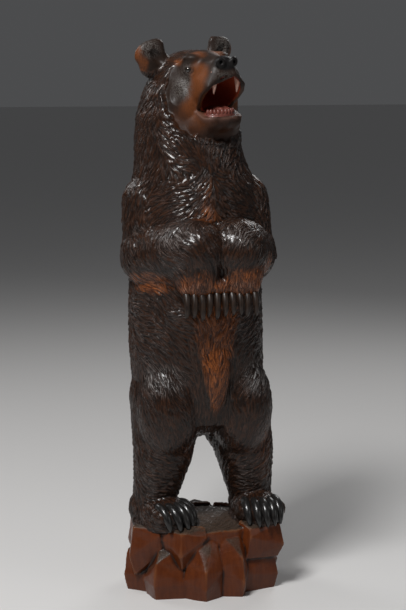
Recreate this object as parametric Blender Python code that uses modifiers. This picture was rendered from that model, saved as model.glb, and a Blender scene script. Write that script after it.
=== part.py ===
"""A standing bear with its mouth open, carved in one with its rocky plinth from a single block of wood, and its two
glass eyes.

Metres, +Z up. The origin is on the floor under the middle of the plinth. The bear faces -Y, so its left is at +X.
The figure is a free form. It is drawn in units of FIGURE_HEIGHT / DRAWN_HEIGHT, which are millimetres at the carved
size: x to the bear's left, y to its back and z up from the ground that it stands on."""

import math
import random
from collections import namedtuple

import bmesh
import bpy
import numpy as np
from mathutils import Matrix, Vector
from mathutils.bvhtree import BVHTree
from mathutils.kdtree import KDTree

# Driving dimensions
FIGURE_HEIGHT = 0.785  # from the ground under its feet to the tips of its ears
PLINTH_HEIGHT = 0.115  # from the floor to that ground
PLINTH_WIDTH = 0.264
PLINTH_DEPTH = 0.208
EYE_DIAMETER = 0.011
EYE_CLEARANCE = 0.0003  # between a glass bead and its socket
EYE_SINK = 0.15  # share of its diameter by which a bead's middle lies under the face
RIM_DROP = 0.009  # how much lower the ground is at the plinth's rim
GROUND_SHARE = 0.80  # of the plinth's width and depth that is ground; the rest is rocks
CORE_SHARE = 0.60  # of the plinth's width and depth that is solid down to the floor, behind every rock

# The figure's drawing, and its head's: x to the head's left, y back, z up
DRAWN_HEIGHT = 785.0
UNIT = FIGURE_HEIGHT / DRAWN_HEIGHT
FIGURE = Matrix.Translation((0, 0, PLINTH_HEIGHT)) @ Matrix.Scale(UNIT, 4)
HEAD = (
    Matrix.Translation((-14, 45, 717))
    @ Matrix.Rotation(math.radians(19), 4, "Z")
    @ Matrix.Rotation(math.radians(-3.5), 4, "Y")
)
SIDES = (-1, 1)  # the bear's right, then its left

# How finely the masses are blended, and how many facets are left
CLAY_CELL = 4.0 * UNIT
CLAY_SMOOTHING = 6
FIGURE_TRIANGLES = 6500

# Fur locks
LOCK_LENGTH = 44.0
LOCK_WIDTH = 17.0
LOCK_DEPTH = 5.0
LOCK_SPACING = 12.5

# Claws
CLAWS = 5
PAW_CLAW_PITCH = 11.0
CLAW_SIDES = 5
TOOTH_SIDES = 4


class Clay:
    """Closed lumps that overlap, drawn in the frame that place says."""

    def __init__(self, place=FIGURE):
        self.mesh = bmesh.new()
        self.place = place

    def ball(self, centre, radii, turn=Matrix()):
        """An egg with these half-axes."""
        bmesh.ops.create_uvsphere(
            self.mesh,
            u_segments=28,
            v_segments=16,
            radius=1.0,
            matrix=self.place @ Matrix.Translation(centre) @ turn @ Matrix.Diagonal((*radii, 1.0)),
        )

    def limb(self, start, end, start_radius, end_radius):
        """A tapered roll with round ends."""
        start, end = Vector(start), Vector(end)
        along = end - start
        turn = along.to_track_quat("Z", "Y").to_matrix().to_4x4()
        bmesh.ops.create_cone(
            self.mesh,
            cap_ends=True,
            segments=28,
            radius1=start_radius,
            radius2=end_radius,
            depth=along.length,
            matrix=self.place @ Matrix.Translation((start + end) / 2) @ turn,
        )
        self.ball(start, (start_radius,) * 3)
        self.ball(end, (end_radius,) * 3)

    def loft(self, rings):
        """A closed skin over rings with the same number of points."""
        skin = [[self.mesh.verts.new(self.place @ Vector(point)) for point in ring] for ring in rings]
        for lower, upper in zip(skin, skin[1:]):
            for k in range(len(lower)):
                self.mesh.faces.new((lower[k - 1], lower[k], upper[k], upper[k - 1]))
        self.mesh.faces.new(skin[0][::-1])
        self.mesh.faces.new(skin[-1])

    def hull(self, points):
        """The convex block with these corners."""
        corners = [self.mesh.verts.new(self.place @ Vector(point)) for point in points]
        made = bmesh.ops.convex_hull(self.mesh, input=corners, use_existing_faces=False)
        inside = [item for item in made["geom_interior"] if isinstance(item, bmesh.types.BMVert)]
        bmesh.ops.delete(self.mesh, geom=inside, context="VERTS")


Section = namedtuple("Section", "z x y width depth")  # half-width and half-depth of the trunk at a height

TRUNK = (
    Section(146, 0, 14, 34, 50),
    Section(165, 0, 14, 96, 78),
    Section(215, -3, 12, 107, 86),
    Section(280, -7, 10, 108, 91),
    Section(340, -8, 10, 107, 94),
    Section(420, -8, 12, 105, 90),
    Section(500, -7, 16, 103, 88),
    Section(548, -8, 22, 98, 86),
    Section(585, -12, 30, 87, 84),
    Section(620, -18, 37, 80, 80),
    Section(660, -18, 42, 76, 76),
    Section(700, -15, 44, 66, 68),
    Section(730, -15, 46, 50, 54),
)


def trunk(clay):
    """Belly, chest and neck: one column of oval sections."""
    count = 40
    turns = [math.tau * k / count for k in range(count)]
    clay.loft(
        [
            [(s.x + s.width * math.cos(turn), s.y + s.depth * math.sin(turn), s.z) for turn in turns]
            for s in TRUNK
        ]
    )
    clay.ball((0, 56, 205), (88, 48, 82))
    clay.ball((0, 104, 196), (16, 14, 26))
    clay.ball((2, -30, 252), (42, 58, 82))


def leg(clay, side):
    hip, knee, ankle = (56 * side - 2, 10, 205), (69 * side + 2, -4, 112), (83 * side + 2, 3, 30)
    clay.limb(hip, knee, 59, 46)
    clay.limb(knee, ankle, 46, 32)
    clay.limb((20 * side, 8, 190), (46 * side, 4, 118), 26, 22)
    clay.ball((61 * side - 2, -25, 188), (50, 55, 82))


FOOT_PLACE = {
    side: Matrix.Translation((84 * side + 1, 0, 0)) @ Matrix.Rotation(math.radians(turn), 4, "Z")
    for side, turn in zip(SIDES, (27, 2))
}


def foot(clay, side):
    """Broad, with a row of toes; its sole is let into the ground."""
    clay.place = FIGURE @ FOOT_PLACE[side]
    clay.ball((0, -26, 10), (38, 50, 30))
    clay.ball((0, 8, 16), (32, 34, 34))
    for k in range(CLAWS):
        clay.ball(toe(k), (9.5, 15, 13))
    clay.place = FIGURE


def toe(k):
    """The middle of a toe, in the frame of its foot."""
    share = k / (CLAWS - 1) * 2 - 1
    return Vector((31 * share, -64 + 13 * share * share, 15))


def arm(clay, side):
    """The upper arm hangs; the forearm lies across the chest and its paw hangs from the wrist."""
    shoulder, elbow, wrist = (73 * side - 6, 16, 520), (76 * side - 7, -8, 438), (33 * side + 3, -82, 450)
    clay.limb(shoulder, elbow, 45, 45)
    clay.limb(elbow, wrist, 50, 47)
    clay.ball((35 * side + 3, -87, 425), (38, 36, 56))


HEAD_CLAY = (
    ((0, -88, -62), (18, 30, 20)),
    ((0, -10, -6), (62, 60, 54)),
    ((0, -50, 16), (42, 40, 33)),
    ((0, -106, 28), (21, 14, 12)),
    ((0, -30, -92), (60, 62, 46)),
)
HEAD_PAIRS = (
    ((21, -86, -12), (22, 37, 28)),
    ((12, -96, 6), (20, 26, 22)),
    ((17, -85, -62), (21, 30, 21)),
    ((35, -32, -38), (31, 44, 48)),
    ((20, -60, -74), (30, 40, 28)),
    ((26, -62, 38), (17, 16, 9)),
)
MUZZLE = ((0, -60, 10), (0, -92, 10), 34, 29)
EYE_AIM = Vector((37, -63, 19))  # the bear's left eye; its right one is mirrored
EYE_WAY = Vector((0.8, -0.6, 0.05)).normalized()
EAR_PLACE = {
    side: Matrix.Translation((56 * side, 0, 28))
    @ Matrix.Rotation(math.radians(42 * side), 4, "Y")
    @ Matrix.Rotation(math.radians(16 * side), 4, "Z")
    for side in SIDES
}


def head(clay):
    clay.place = FIGURE @ HEAD
    for centre, radii in HEAD_CLAY:
        clay.ball(centre, radii)
    clay.limb(*MUZZLE)
    for side in SIDES:
        for (x, y, z), radii in HEAD_PAIRS:
            clay.ball((x * side, y, z), radii)
        clay.place = FIGURE @ HEAD @ EAR_PLACE[side]
        clay.ball((0, 0, 10), (27, 13, 26))
        clay.ball((0, 0, 32), (16, 9, 17))
        clay.place = FIGURE @ HEAD
    clay.place = FIGURE


MOUTH = ((0, -74, -18), (29, 62, 31))
LIP_LINE = ((-146, -46), (-76, -46), (-112, -20), (-128, 13), (-146, 13))  # (y, z), side on


def hollows():
    """What is cut into the head: the mouth, the ears' cups, the nostrils and the hollows round the eyes."""
    tool = Clay(FIGURE @ HEAD)
    tool.ball(*MOUTH)
    tool.loft([[(x, y, z) for y, z in LIP_LINE] for x in (-26, 26)])
    for side in SIDES:
        tool.ball((12.5 * side, -121, 29), (6.5, 10, 6.5))
        tool.ball((44 * side, -70, 17), (13, 9, 9))
        tool.place = FIGURE @ HEAD @ EAR_PLACE[side]
        tool.ball((0, -12, 17), (16, 12, 21))
        tool.place = FIGURE @ HEAD
    return tool.mesh


def on_plinth(angle, share, height):
    """A point at this angle from the front, towards the bear's left; share is 1 at the plinth's edge."""
    angle = math.radians(angle)
    return (
        share * PLINTH_WIDTH / 2 * math.sin(angle),
        -share * PLINTH_DEPTH / 2 * math.cos(angle),
        height * PLINTH_HEIGHT,
    )


def ground(clay):
    """The plinth's core and its domed top, higher under the bear than at the rim."""
    clay.place = Matrix()
    step = 9
    rim = 1 - RIM_DROP / PLINTH_HEIGHT
    rings = [(0.80, 0.1), (GROUND_SHARE, 0.5), (GROUND_SHARE, rim)]
    rings += [(GROUND_SHARE * s, 1 - (1 - rim) * s * s) for s in (0.8, 0.6, 0.4, 0.2, 0.05)]
    clay.loft([[on_plinth(angle, share, height) for angle in range(0, 360, step)] for share, height in rings])
    clay.place = FIGURE


Rock = namedtuple("Rock", "left arris right foot brow crest reach back")
# Angles as for on_plinth, heights as shares of the plinth's; foot and brow have one for each of the three angles.
# reach is the share at which its face stands and back the one at which its top meets the ground.
FRONT_ROCKS = (
    Rock(-107, -84, -62, (0, 0, 0), (0.62, 0.60, 0.34), 0.78, 0.97, 0.72),
    Rock(-63, -44, -23, (0, 0, 0), (0.32, 0.58, 0.40), 0.80, 1.01, 0.66),
    Rock(-25, -9, 4, (0, 0, 0), (0.52, 0.45, 0.56), 0.93, 1.02, 0.72),
    Rock(3, 18, 28, (0, 0, 0), (0.62, 0.58, 0.66), 0.90, 1.00, 0.74),
    Rock(25, 53, 84, (0, 0, 0), (0.46, 0.54, 0.40), 0.66, 1.00, 0.70),
    Rock(27, 52, 96, (0.50, 0.46, 0.58), (0.90, 0.93, 0.97), 1.0, 1.10, 0.70),
    Rock(-99, -70, -48, (0.60, 0.26, 0.62), (0.84, 0.88, 0.90), 0.99, 1.01, 0.70),
    Rock(-55, -27, -7, (0.66, 0.42, 0.78), (0.90, 0.86, 0.88), 0.96, 0.97, 0.74),
)
BACK_ROCKS = 6
BACK_FROM, BACK_TO = 80, 256


def back_rocks():
    """The plinth's back is cut in the same way, in two rows."""
    chance = random.Random(7)
    for foot, brow, count, start in ((0.0, 0.56, 6, BACK_FROM), (0.48, 0.90, 5, BACK_FROM + 12)):
        pitch = (BACK_TO - BACK_FROM) / BACK_ROCKS
        left = start
        for _ in range(count):
            width = pitch * chance.uniform(0.8, 1.25)
            rises = [chance.uniform(-0.1, 0.08) for _ in range(3)]
            yield Rock(
                left - 2,
                left + width * chance.uniform(0.3, 0.7),
                left + width,
                (foot, foot - 0.15 if foot else 0, foot),
                [brow + rise for rise in rises],
                min(1.0, brow + 0.2),
                chance.uniform(0.93, 1.02),
                0.72,
            )
            left += width


def rocks():
    """Faceted blocks round the plinth's core, left long below the floor that they are sawn off at."""
    cut = Clay(Matrix())
    cut.hull([on_plinth(angle, CORE_SHARE, height) for angle in range(0, 360, 30) for height in (-0.1, 0.5)])
    for rock in (*FRONT_ROCKS, *back_rocks()):
        angles = (rock.left, rock.arris, rock.right)
        bulge = (0.95, 1.05, 0.95)
        inset = (2.0, 0, -2.0)
        foot = [height if height else -0.1 for height in rock.foot]
        corners = [on_plinth(a, rock.reach * b, h) for a, b, h in zip(angles, bulge, foot)]
        corners += [
            on_plinth(a + i, rock.reach * b * 0.97, h)
            for a, i, b, h in zip(angles, inset, bulge, rock.brow)
        ]
        corners += [on_plinth(a + 1.5 * i, rock.back, rock.crest) for a, i in zip(angles, inset)]
        corners += [on_plinth(a, 0.5, h) for a, h in zip(angles, foot)]
        cut.hull(corners)
    return cut.mesh


def shaped(name, mesh_source):
    """A new object from a bmesh, which is freed."""
    mesh = bpy.data.meshes.new(name)
    bmesh.ops.recalc_face_normals(mesh_source, faces=mesh_source.faces)
    mesh_source.to_mesh(mesh)
    mesh_source.free()
    obj = bpy.data.objects.new(name, mesh)
    bpy.context.scene.collection.objects.link(obj)
    return obj


def evaluated(obj):
    """The object with its modifiers applied."""
    graph = bpy.context.evaluated_depsgraph_get()
    mesh = bpy.data.meshes.new_from_object(obj.evaluated_get(graph))
    obj.modifiers.clear()
    obj.data = mesh
    return obj


def fused(obj, cell, smoothing):
    """One skin over everything in the object, on a grid of this cell."""
    remesh = obj.modifiers.new("Fuse", "REMESH")
    remesh.mode = "VOXEL"
    remesh.voxel_size = cell
    smooth = obj.modifiers.new("Blend", "SMOOTH")
    smooth.factor = 0.5
    smooth.iterations = smoothing
    return evaluated(obj)


def joined(obj, other, operation):
    """Either may be made of blocks that overlap."""
    boolean = obj.modifiers.new(operation.title(), "BOOLEAN")
    boolean.operation = operation
    boolean.object = other
    boolean.solver = "EXACT"
    boolean.use_self = True
    evaluated(obj)
    bpy.data.objects.remove(other)
    return obj


def smooth_figure():
    clay = Clay()
    trunk(clay)
    head(clay)
    ground(clay)
    for side in SIDES:
        leg(clay, side)
        foot(clay, side)
        arm(clay, side)
    figure = fused(shaped("carved_bear", clay.mesh), CLAY_CELL, CLAY_SMOOTHING)
    tool = fused(shaped("hollows", hollows()), CLAY_CELL * 0.6, 1)
    figure = joined(figure, tool, "DIFFERENCE")
    return fused(figure, CLAY_CELL, 1)


def horn(clay, path, radii, sides=CLAW_SIDES):
    """A claw or a tooth: a roll along a path in the plane of y and z, down to a blunt point."""
    rings = []
    for k, (centre, radius) in enumerate(zip(path, radii)):
        before, after = path[max(k - 1, 0)], path[min(k + 1, len(path) - 1)]
        lean = math.atan2(after[2] - before[2], after[1] - before[1])
        rings.append(
            [
                (
                    centre[0] + radius * math.cos(turn),
                    centre[1] - radius * math.sin(turn) * math.sin(lean),
                    centre[2] + radius * math.sin(turn) * math.cos(lean),
                )
                for turn in (math.tau * j / sides for j in range(sides))
            ]
        )
    clay.loft(rings)


def claws_and_teeth():
    cut = Clay()
    for side in SIDES:
        for k in range(CLAWS):
            x = 36 * side + 4 + PAW_CLAW_PITCH * (k - (CLAWS - 1) / 2)
            path = [(x, -100, 394), (x, -114, 376), (x, -116, 361), (x, -110, 347)]
            horn(cut, path, (4.6, 4.6, 3.8, 1.0))
        cut.place = FIGURE @ FOOT_PLACE[side]
        for k in range(CLAWS):
            x, y, z = toe(k)
            path = [(x, y - 4, z + 10), (x, y - 16, z + 13), (x, y - 25, z + 3), (x, y - 28, z - 11)]
            horn(cut, path, (5.2, 5.0, 4.0, 1.0))
        cut.place = FIGURE @ HEAD
        horn(cut, [(22 * side, -108, 14), (22 * side, -112, -1), (22 * side, -109, -19)], (4.6, 4.2, 1.2))
        horn(cut, [(22 * side, -97, -54), (22 * side, -100, -42), (22 * side, -98, -31)], (4.2, 3.6, 1.2))
        for k in range(3):
            x = (3.2 + 6.2 * k) * side
            back = 0.02 * x * x
            horn(cut, [(x, -108 + back, 18), (x, -109 + back, 3)], (3.4, 2.2), TOOTH_SIDES)
            horn(cut, [(x, -105 + back, -52), (x, -107 + back, -40)], (3.4, 2.2), TOOTH_SIDES)
        cut.place = FIGURE
    return cut.mesh


FurGuide = namedtuple("FurGuide", "x y z across back up")
# Which way the fur lies, at places on the bear's left; its right side mirrors it.
FUR_GUIDES = (
    FurGuide(0, 70, 770, 0.0, 1.0, -0.4),
    FurGuide(70, 50, 720, 0.3, 0.7, -0.7),
    FurGuide(75, 20, 660, 0.0, 0.4, -1.0),
    FurGuide(0, 118, 660, 0.0, 0.2, -1.0),
    FurGuide(50, -30, 640, -0.7, -0.1, -0.7),
    FurGuide(0, -48, 640, 0.0, 0.0, -1.0),
    FurGuide(45, -50, 590, -0.8, -0.1, -0.4),
    FurGuide(14, -66, 560, 0.8, 0.0, -0.6),
    FurGuide(55, -55, 540, 1.0, 0.3, -0.3),
    FurGuide(14, -74, 505, 0.8, 0.0, -0.6),
    FurGuide(60, -60, 500, 1.0, 0.3, -0.25),
    FurGuide(85, -20, 560, 0.5, 0.0, -0.9),
    FurGuide(120, 0, 510, 0.0, -0.1, -1.0),
    FurGuide(128, 0, 450, -0.1, -0.4, -1.0),
    FurGuide(115, -45, 470, 0.0, -0.5, -1.0),
    FurGuide(110, -50, 415, -0.8, -0.4, -0.5),
    FurGuide(85, -100, 440, -0.9, -0.2, -0.35),
    FurGuide(60, -110, 475, -0.8, -0.2, -0.6),
    FurGuide(22, -122, 468, -0.4, 0.0, -1.0),
    FurGuide(38, -122, 410, 0.0, 0.0, -1.0),
    FurGuide(95, -50, 380, -1.0, -0.1, -0.3),
    FurGuide(60, -75, 340, -1.0, -0.2, -0.3),
    FurGuide(110, 0, 350, -0.3, -1.0, -0.15),
    FurGuide(95, -50, 300, -0.9, -0.5, -0.3),
    FurGuide(14, -88, 330, -0.5, 0.0, -1.0),
    FurGuide(14, -88, 270, -0.4, 0.0, -1.0),
    FurGuide(8, -80, 210, -0.2, 0.0, -1.0),
    FurGuide(45, -80, 250, -0.6, -0.1, -0.8),
    FurGuide(85, -62, 235, -0.35, -0.3, -0.9),
    FurGuide(115, 0, 230, 0.0, -0.4, -1.0),
    FurGuide(70, -72, 150, -0.35, 0.0, -1.0),
    FurGuide(70, -48, 95, -1.0, 0.0, -0.45),
    FurGuide(84, -30, 60, -1.0, 0.0, -0.4),
    FurGuide(115, 0, 90, -0.1, -0.7, -0.5),
    FurGuide(35, 0, 110, 0.1, 0.6, -0.8),
    FurGuide(84, -55, 40, 0.0, -1.0, -0.4),
    FurGuide(0, 105, 520, 0.0, 0.0, -1.0),
    FurGuide(85, 60, 540, 0.2, 0.1, -1.0),
    FurGuide(90, 60, 380, 0.1, 0.1, -1.0),
    FurGuide(0, 100, 330, 0.0, 0.0, -1.0),
    FurGuide(80, 80, 220, 0.0, 0.0, -1.0),
    FurGuide(80, 45, 100, 0.0, 0.0, -1.0),
    FurGuide(90, 40, 40, 0.2, 0.3, -1.0),
)
GUIDES = np.array([(g.x * side, g.y, g.z, g.across * side, g.back, g.up) for g in FUR_GUIDES for side in SIDES])


def combed(points, normals):
    """The way the fur lies at points of the skin: that of the guides nearby."""
    far = np.linalg.norm(points[:, None] - GUIDES[None, :, :3], axis=2) + 6
    weights = far**-3.5
    way = weights @ GUIDES[:, 3:]
    way -= normals * np.sum(way * normals, axis=1)[:, None]
    return way / np.maximum(np.linalg.norm(way, axis=1), 1e-6)[:, None]


def smooth_step(low, high, values):
    share = np.clip((values - low) / (high - low), 0, 1)
    return share * share * (3 - 2 * share)


def in_head(points):
    place = np.array(HEAD.inverted())
    return points @ place[:3, :3].T + place[:3, 3]


def furriness(points):
    """1 where the fur is cut deep, 0 on the bare face, in the ears and on the ground."""
    head_points = in_head(points)
    face = np.linalg.norm((head_points - (0, -78, -18)) / (88, 72, 96), axis=1)
    short = 1 - 0.6 * smooth_step(10, 35, head_points[:, 2])
    bare = smooth_step(0.98, 1.12, face) * short
    for side in SIDES:
        ear = np.linalg.norm((head_points - (72 * side, -2, 46)) / (34, 26, 30), axis=1)
        bare *= smooth_step(0.8, 1.1, ear)
    return bare * smooth_step(12, 40, points[:, 2])


def lock(share, offset):
    """How high a lock stands, from its root at share 0 to its tip at 1; offset is 1 at its edges."""
    half = np.sqrt(np.clip(1 - np.abs(share * 2 - 1) ** 3, 0, 1)) + 1e-6
    inside = np.clip(1 - (offset / half) ** 2, 0, 1)
    return np.where((share > 0) & (share < 1), np.sqrt(inside) * (0.25 + 0.75 * share), 0)


def furred(figure):
    """Raises the skin in overlapping locks that lie as the fur is combed."""
    mesh = figure.data
    count = len(mesh.vertices)
    places, normals = np.empty(count * 3), np.empty(count * 3)
    mesh.vertices.foreach_get("co", places)
    mesh.vertices.foreach_get("normal", normals)
    normals = normals.reshape(-1, 3)
    points = (places.reshape(-1, 3) - (0, 0, PLINTH_HEIGHT)) / UNIT
    ways = combed(points, normals)
    tree = KDTree(count)
    for index, point in enumerate(points):
        tree.insert(point, index)
    tree.balance()
    lift = np.zeros(count)
    taken = np.zeros(count, bool)
    chance = random.Random(3)
    order = list(range(count))
    chance.shuffle(order)
    for seed in order:
        if taken[seed]:
            continue
        near = np.array([index for _, index, _ in tree.find_range(points[seed], LOCK_LENGTH * 0.6)])
        gap = points[near] - points[seed]
        taken[near[np.linalg.norm(gap, axis=1) < LOCK_SPACING]] = True
        turn = chance.uniform(-0.16, 0.16)
        across = np.cross(normals[seed], ways[seed])
        way = ways[seed] * math.cos(turn) + across * math.sin(turn)
        across = np.cross(normals[seed], way)
        share = gap @ way / LOCK_LENGTH + 0.5
        raised = lock(share, gap @ across / (LOCK_WIDTH / 2)) * chance.uniform(0.75, 1.0)
        facing = normals[near] @ normals[seed] > 0.2
        lift[near] = np.maximum(lift[near], raised * facing)
    moved = points + normals * (lift * furriness(points) * LOCK_DEPTH)[:, None]
    places = moved * UNIT + (0, 0, PLINTH_HEIGHT)
    mesh.vertices.foreach_set("co", places.ravel())
    mesh.update()
    return figure


def thinned(obj, triangles):
    """Fewer facets, kept where the form bends most."""
    tidy = obj.modifiers.new("Triangles", "TRIANGULATE")
    tidy.quad_method = "BEAUTY"
    evaluated(obj)
    fewer = obj.modifiers.new("Fewer", "DECIMATE")
    fewer.ratio = triangles / len(obj.data.polygons)
    return evaluated(obj)


def sawn(obj):
    """The underside, one flat face on the floor."""
    saw = bmesh.new()
    reach = 2 * PLINTH_WIDTH
    bmesh.ops.create_cube(saw, size=1.0, matrix=Matrix.Translation((0, 0, -reach / 2)) @ Matrix.Scale(reach, 4))
    joined(obj, shaped("saw", saw), "DIFFERENCE")
    block = bmesh.new()
    block.from_mesh(obj.data)
    under = [face for face in block.faces if face.normal.z < -0.999 and face.calc_center_median().z < 1e-6]
    bmesh.ops.dissolve_faces(block, faces=under, use_verts=True)
    block.to_mesh(obj.data)
    block.free()
    return obj


def eye_centre(figure, side):
    """Just under the skin, where a line through the eye's place meets it."""
    skin = BVHTree.FromPolygons(
        [vertex.co for vertex in figure.data.vertices], [polygon.vertices for polygon in figure.data.polygons]
    )
    mirror = Matrix.Diagonal((side, 1, 1, 1))
    way = (HEAD.to_3x3() @ (mirror.to_3x3() @ EYE_WAY)).normalized()
    start = FIGURE @ HEAD @ mirror @ (EYE_AIM + EYE_WAY * 60)
    hit = skin.ray_cast(start, -way)[0]
    return hit - way * EYE_DIAMETER * EYE_SINK


def bead(name, centre, diameter):
    made = bmesh.new()
    bmesh.ops.create_uvsphere(
        made, u_segments=14, v_segments=9, radius=diameter / 2, matrix=Matrix.Translation(centre)
    )
    return shaped(name, made)


def finish(obj, colour, roughness, coat):
    material = bpy.data.materials.new(obj.name)
    material.use_nodes = True
    surface = material.node_tree.nodes["Principled BSDF"]
    surface.inputs["Base Color"].default_value = (*colour, 1)
    surface.inputs["Roughness"].default_value = roughness
    surface.inputs["Coat Weight"].default_value = coat
    obj.data.materials.clear()
    obj.data.materials.append(material)


def gathered(name, objects):
    """The finished pieces in a collection of their own."""
    collection = bpy.data.collections.new(name)
    bpy.context.scene.collection.children.link(collection)
    for obj in objects:
        bpy.context.scene.collection.objects.unlink(obj)
        collection.objects.link(obj)


def main():
    for obj in list(bpy.data.objects):
        bpy.data.objects.remove(obj)
    figure = thinned(furred(smooth_figure()), FIGURE_TRIANGLES)
    centres = {side: eye_centre(figure, side) for side in SIDES}
    plinth = sawn(shaped("rocks", rocks()))
    figure = joined(figure, plinth, "UNION")
    figure = joined(figure, shaped("claws", claws_and_teeth()), "UNION")
    for side, name in zip(SIDES, ("glass_eye_right", "glass_eye_left")):
        socket = bead("socket", centres[side], EYE_DIAMETER + 2 * EYE_CLEARANCE)
        figure = joined(figure, socket, "DIFFERENCE")
        eye = bead(name, centres[side], EYE_DIAMETER)
        eye.data.shade_smooth()
        finish(eye, (0.012, 0.008, 0.006), 0.05, 1.0)
    finish(figure, (0.065, 0.024, 0.012), 0.38, 0.5)
    gathered("carved bear", [obj for obj in bpy.data.objects])


main()
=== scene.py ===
"""A standing wooden bear with its mouth open: its fur cut in strands, its claws, teeth and glass
eyes, and the rocky plinth that it is carved in one with, under a dark glossy stain.

Metres, +Z up, in the frame of the solids. The figure is drawn in millimetres at its carved size:
x to the bear's left, y to its back and z up from the ground that it stands on."""

import math
import random
from collections import namedtuple

import bmesh
import bpy
import numpy as np
from mathutils import Matrix, Vector
from mathutils.bvhtree import BVHTree
from mathutils.kdtree import KDTree


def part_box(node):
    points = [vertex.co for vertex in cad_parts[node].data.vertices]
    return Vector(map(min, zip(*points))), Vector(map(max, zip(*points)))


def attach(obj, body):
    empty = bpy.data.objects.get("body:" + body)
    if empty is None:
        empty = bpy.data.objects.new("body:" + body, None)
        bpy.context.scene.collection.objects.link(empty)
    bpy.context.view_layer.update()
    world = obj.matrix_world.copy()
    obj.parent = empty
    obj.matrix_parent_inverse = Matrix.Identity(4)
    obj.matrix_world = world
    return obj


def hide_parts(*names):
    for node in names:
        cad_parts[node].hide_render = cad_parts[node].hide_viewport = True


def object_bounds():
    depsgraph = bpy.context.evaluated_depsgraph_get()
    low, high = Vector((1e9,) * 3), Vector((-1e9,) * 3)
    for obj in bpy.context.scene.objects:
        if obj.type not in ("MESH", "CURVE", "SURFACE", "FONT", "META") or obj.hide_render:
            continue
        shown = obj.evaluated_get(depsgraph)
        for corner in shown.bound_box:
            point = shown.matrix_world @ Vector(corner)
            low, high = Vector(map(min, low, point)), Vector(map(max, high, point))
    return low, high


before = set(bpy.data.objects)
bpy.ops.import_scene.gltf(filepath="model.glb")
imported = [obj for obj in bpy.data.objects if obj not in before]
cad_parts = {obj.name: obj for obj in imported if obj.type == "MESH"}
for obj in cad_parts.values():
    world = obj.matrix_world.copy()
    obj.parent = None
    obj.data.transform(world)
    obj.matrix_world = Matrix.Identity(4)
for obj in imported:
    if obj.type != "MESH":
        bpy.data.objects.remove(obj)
SOLIDS_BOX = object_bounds()

# Driving sizes, as in the solids
FIGURE_HEIGHT = 0.785
PLINTH_HEIGHT = 0.115
PLINTH_WIDTH = 0.264
PLINTH_DEPTH = 0.208
RIM_DROP = 0.009
GROUND_SHARE = 0.80
CORE_SHARE = 0.60
DRAWN_HEIGHT = 785.0  # of the figure, in its own drawing
UNIT = FIGURE_HEIGHT / DRAWN_HEIGHT
FIGURE = Matrix.Translation((0, 0, PLINTH_HEIGHT)) @ Matrix.Scale(UNIT, 4)
HEAD_SEAT = (-14, 45, 717)
HEAD_TURN, HEAD_TILT = 19, -3.5
HEAD = (
    Matrix.Translation(HEAD_SEAT)
    @ Matrix.Rotation(math.radians(HEAD_TURN), 4, "Z")
    @ Matrix.Rotation(math.radians(HEAD_TILT), 4, "Y")
)
SIDES = (-1, 1)  # the bear's right, then its left

EDGE_ROOM = 0.0003  # left between the pieces and the sides of the solids' box

# How finely the wood is cut
LUMP_SIDES, LUMP_RINGS = 28, 16
LOFT_SIDES = 48
ROUGH_CELL = 3.0 * UNIT
ROUGH_SMOOTHING = 11
HOLLOWS_CELL = ROUGH_CELL * 0.7
FINE_CELL = 1.35 * UNIT
BEAR_TRIANGLES = 195000
ROCK_CELL = 1.5 * UNIT
ROCK_TRIANGLES = 60000

CLAWS = 5
PAW_CLAW_PITCH = 12.4


def round_lump():
    """A ball of radius 1, for Clay to stretch."""
    made = bmesh.new()
    bmesh.ops.create_uvsphere(made, u_segments=LUMP_SIDES, v_segments=LUMP_RINGS, radius=1.0)
    mesh = bpy.data.meshes.new("round_lump")
    made.to_mesh(mesh)
    made.free()
    return mesh


ROUND_LUMP = round_lump()


class Clay:
    """Closed lumps that overlap, drawn in the frame that place says."""

    def __init__(self, place=FIGURE):
        self.mesh = bmesh.new()
        self.place = place

    def ball(self, centre, radii):
        """An egg with these half-axes."""
        lump = ROUND_LUMP.copy()
        lump.transform(self.place @ Matrix.Translation(centre) @ Matrix.Diagonal((*radii, 1.0)))
        self.mesh.from_mesh(lump)
        bpy.data.meshes.remove(lump)

    def balls(self, lumps, side=1):
        """Eggs drawn for the bear's left, or mirrored for its right."""
        for (x, y, z), radii in lumps:
            self.ball((x * side, y, z), radii)

    def limb(self, start, end, start_radius, end_radius):
        """A tapered roll with round ends."""
        start, end = Vector(start), Vector(end)
        along = end - start
        turn = along.to_track_quat("Z", "Y").to_matrix().to_4x4()
        bmesh.ops.create_cone(
            self.mesh,
            cap_ends=True,
            segments=LUMP_SIDES,
            radius1=start_radius,
            radius2=end_radius,
            depth=along.length,
            matrix=self.place @ Matrix.Translation((start + end) / 2) @ turn,
        )
        self.ball(start, (start_radius,) * 3)
        self.ball(end, (end_radius,) * 3)

    def roll(self, path, radii):
        """A round bead along a path, such as a lip or an eyelid."""
        for (start, end), (first, last) in zip(zip(path, path[1:]), zip(radii, radii[1:])):
            self.limb(start, end, first, last)

    def loft(self, rings, sides):
        """A closed skin over rings, each given as the place of a round of radius 1."""
        loops = []
        for ring in rings:
            place = self.place @ ring
            made = bmesh.ops.create_circle(self.mesh, segments=sides, radius=1.0, matrix=place)
            loops.append(list({edge for vertex in made["verts"] for edge in vertex.link_edges}))
        for lower, upper in zip(loops, loops[1:]):
            bmesh.ops.bridge_loops(self.mesh, edges=lower + upper)
        for loop in (loops[0], loops[-1]):
            bmesh.ops.contextual_create(self.mesh, geom=loop)

    def hull(self, points):
        """The convex block with these corners."""
        corners = [self.mesh.verts.new(self.place @ Vector(point)) for point in points]
        made = bmesh.ops.convex_hull(self.mesh, input=corners, use_existing_faces=False)
        inside = [item for item in made["geom_interior"] if isinstance(item, bmesh.types.BMVert)]
        bmesh.ops.delete(self.mesh, geom=inside, context="VERTS")


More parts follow.
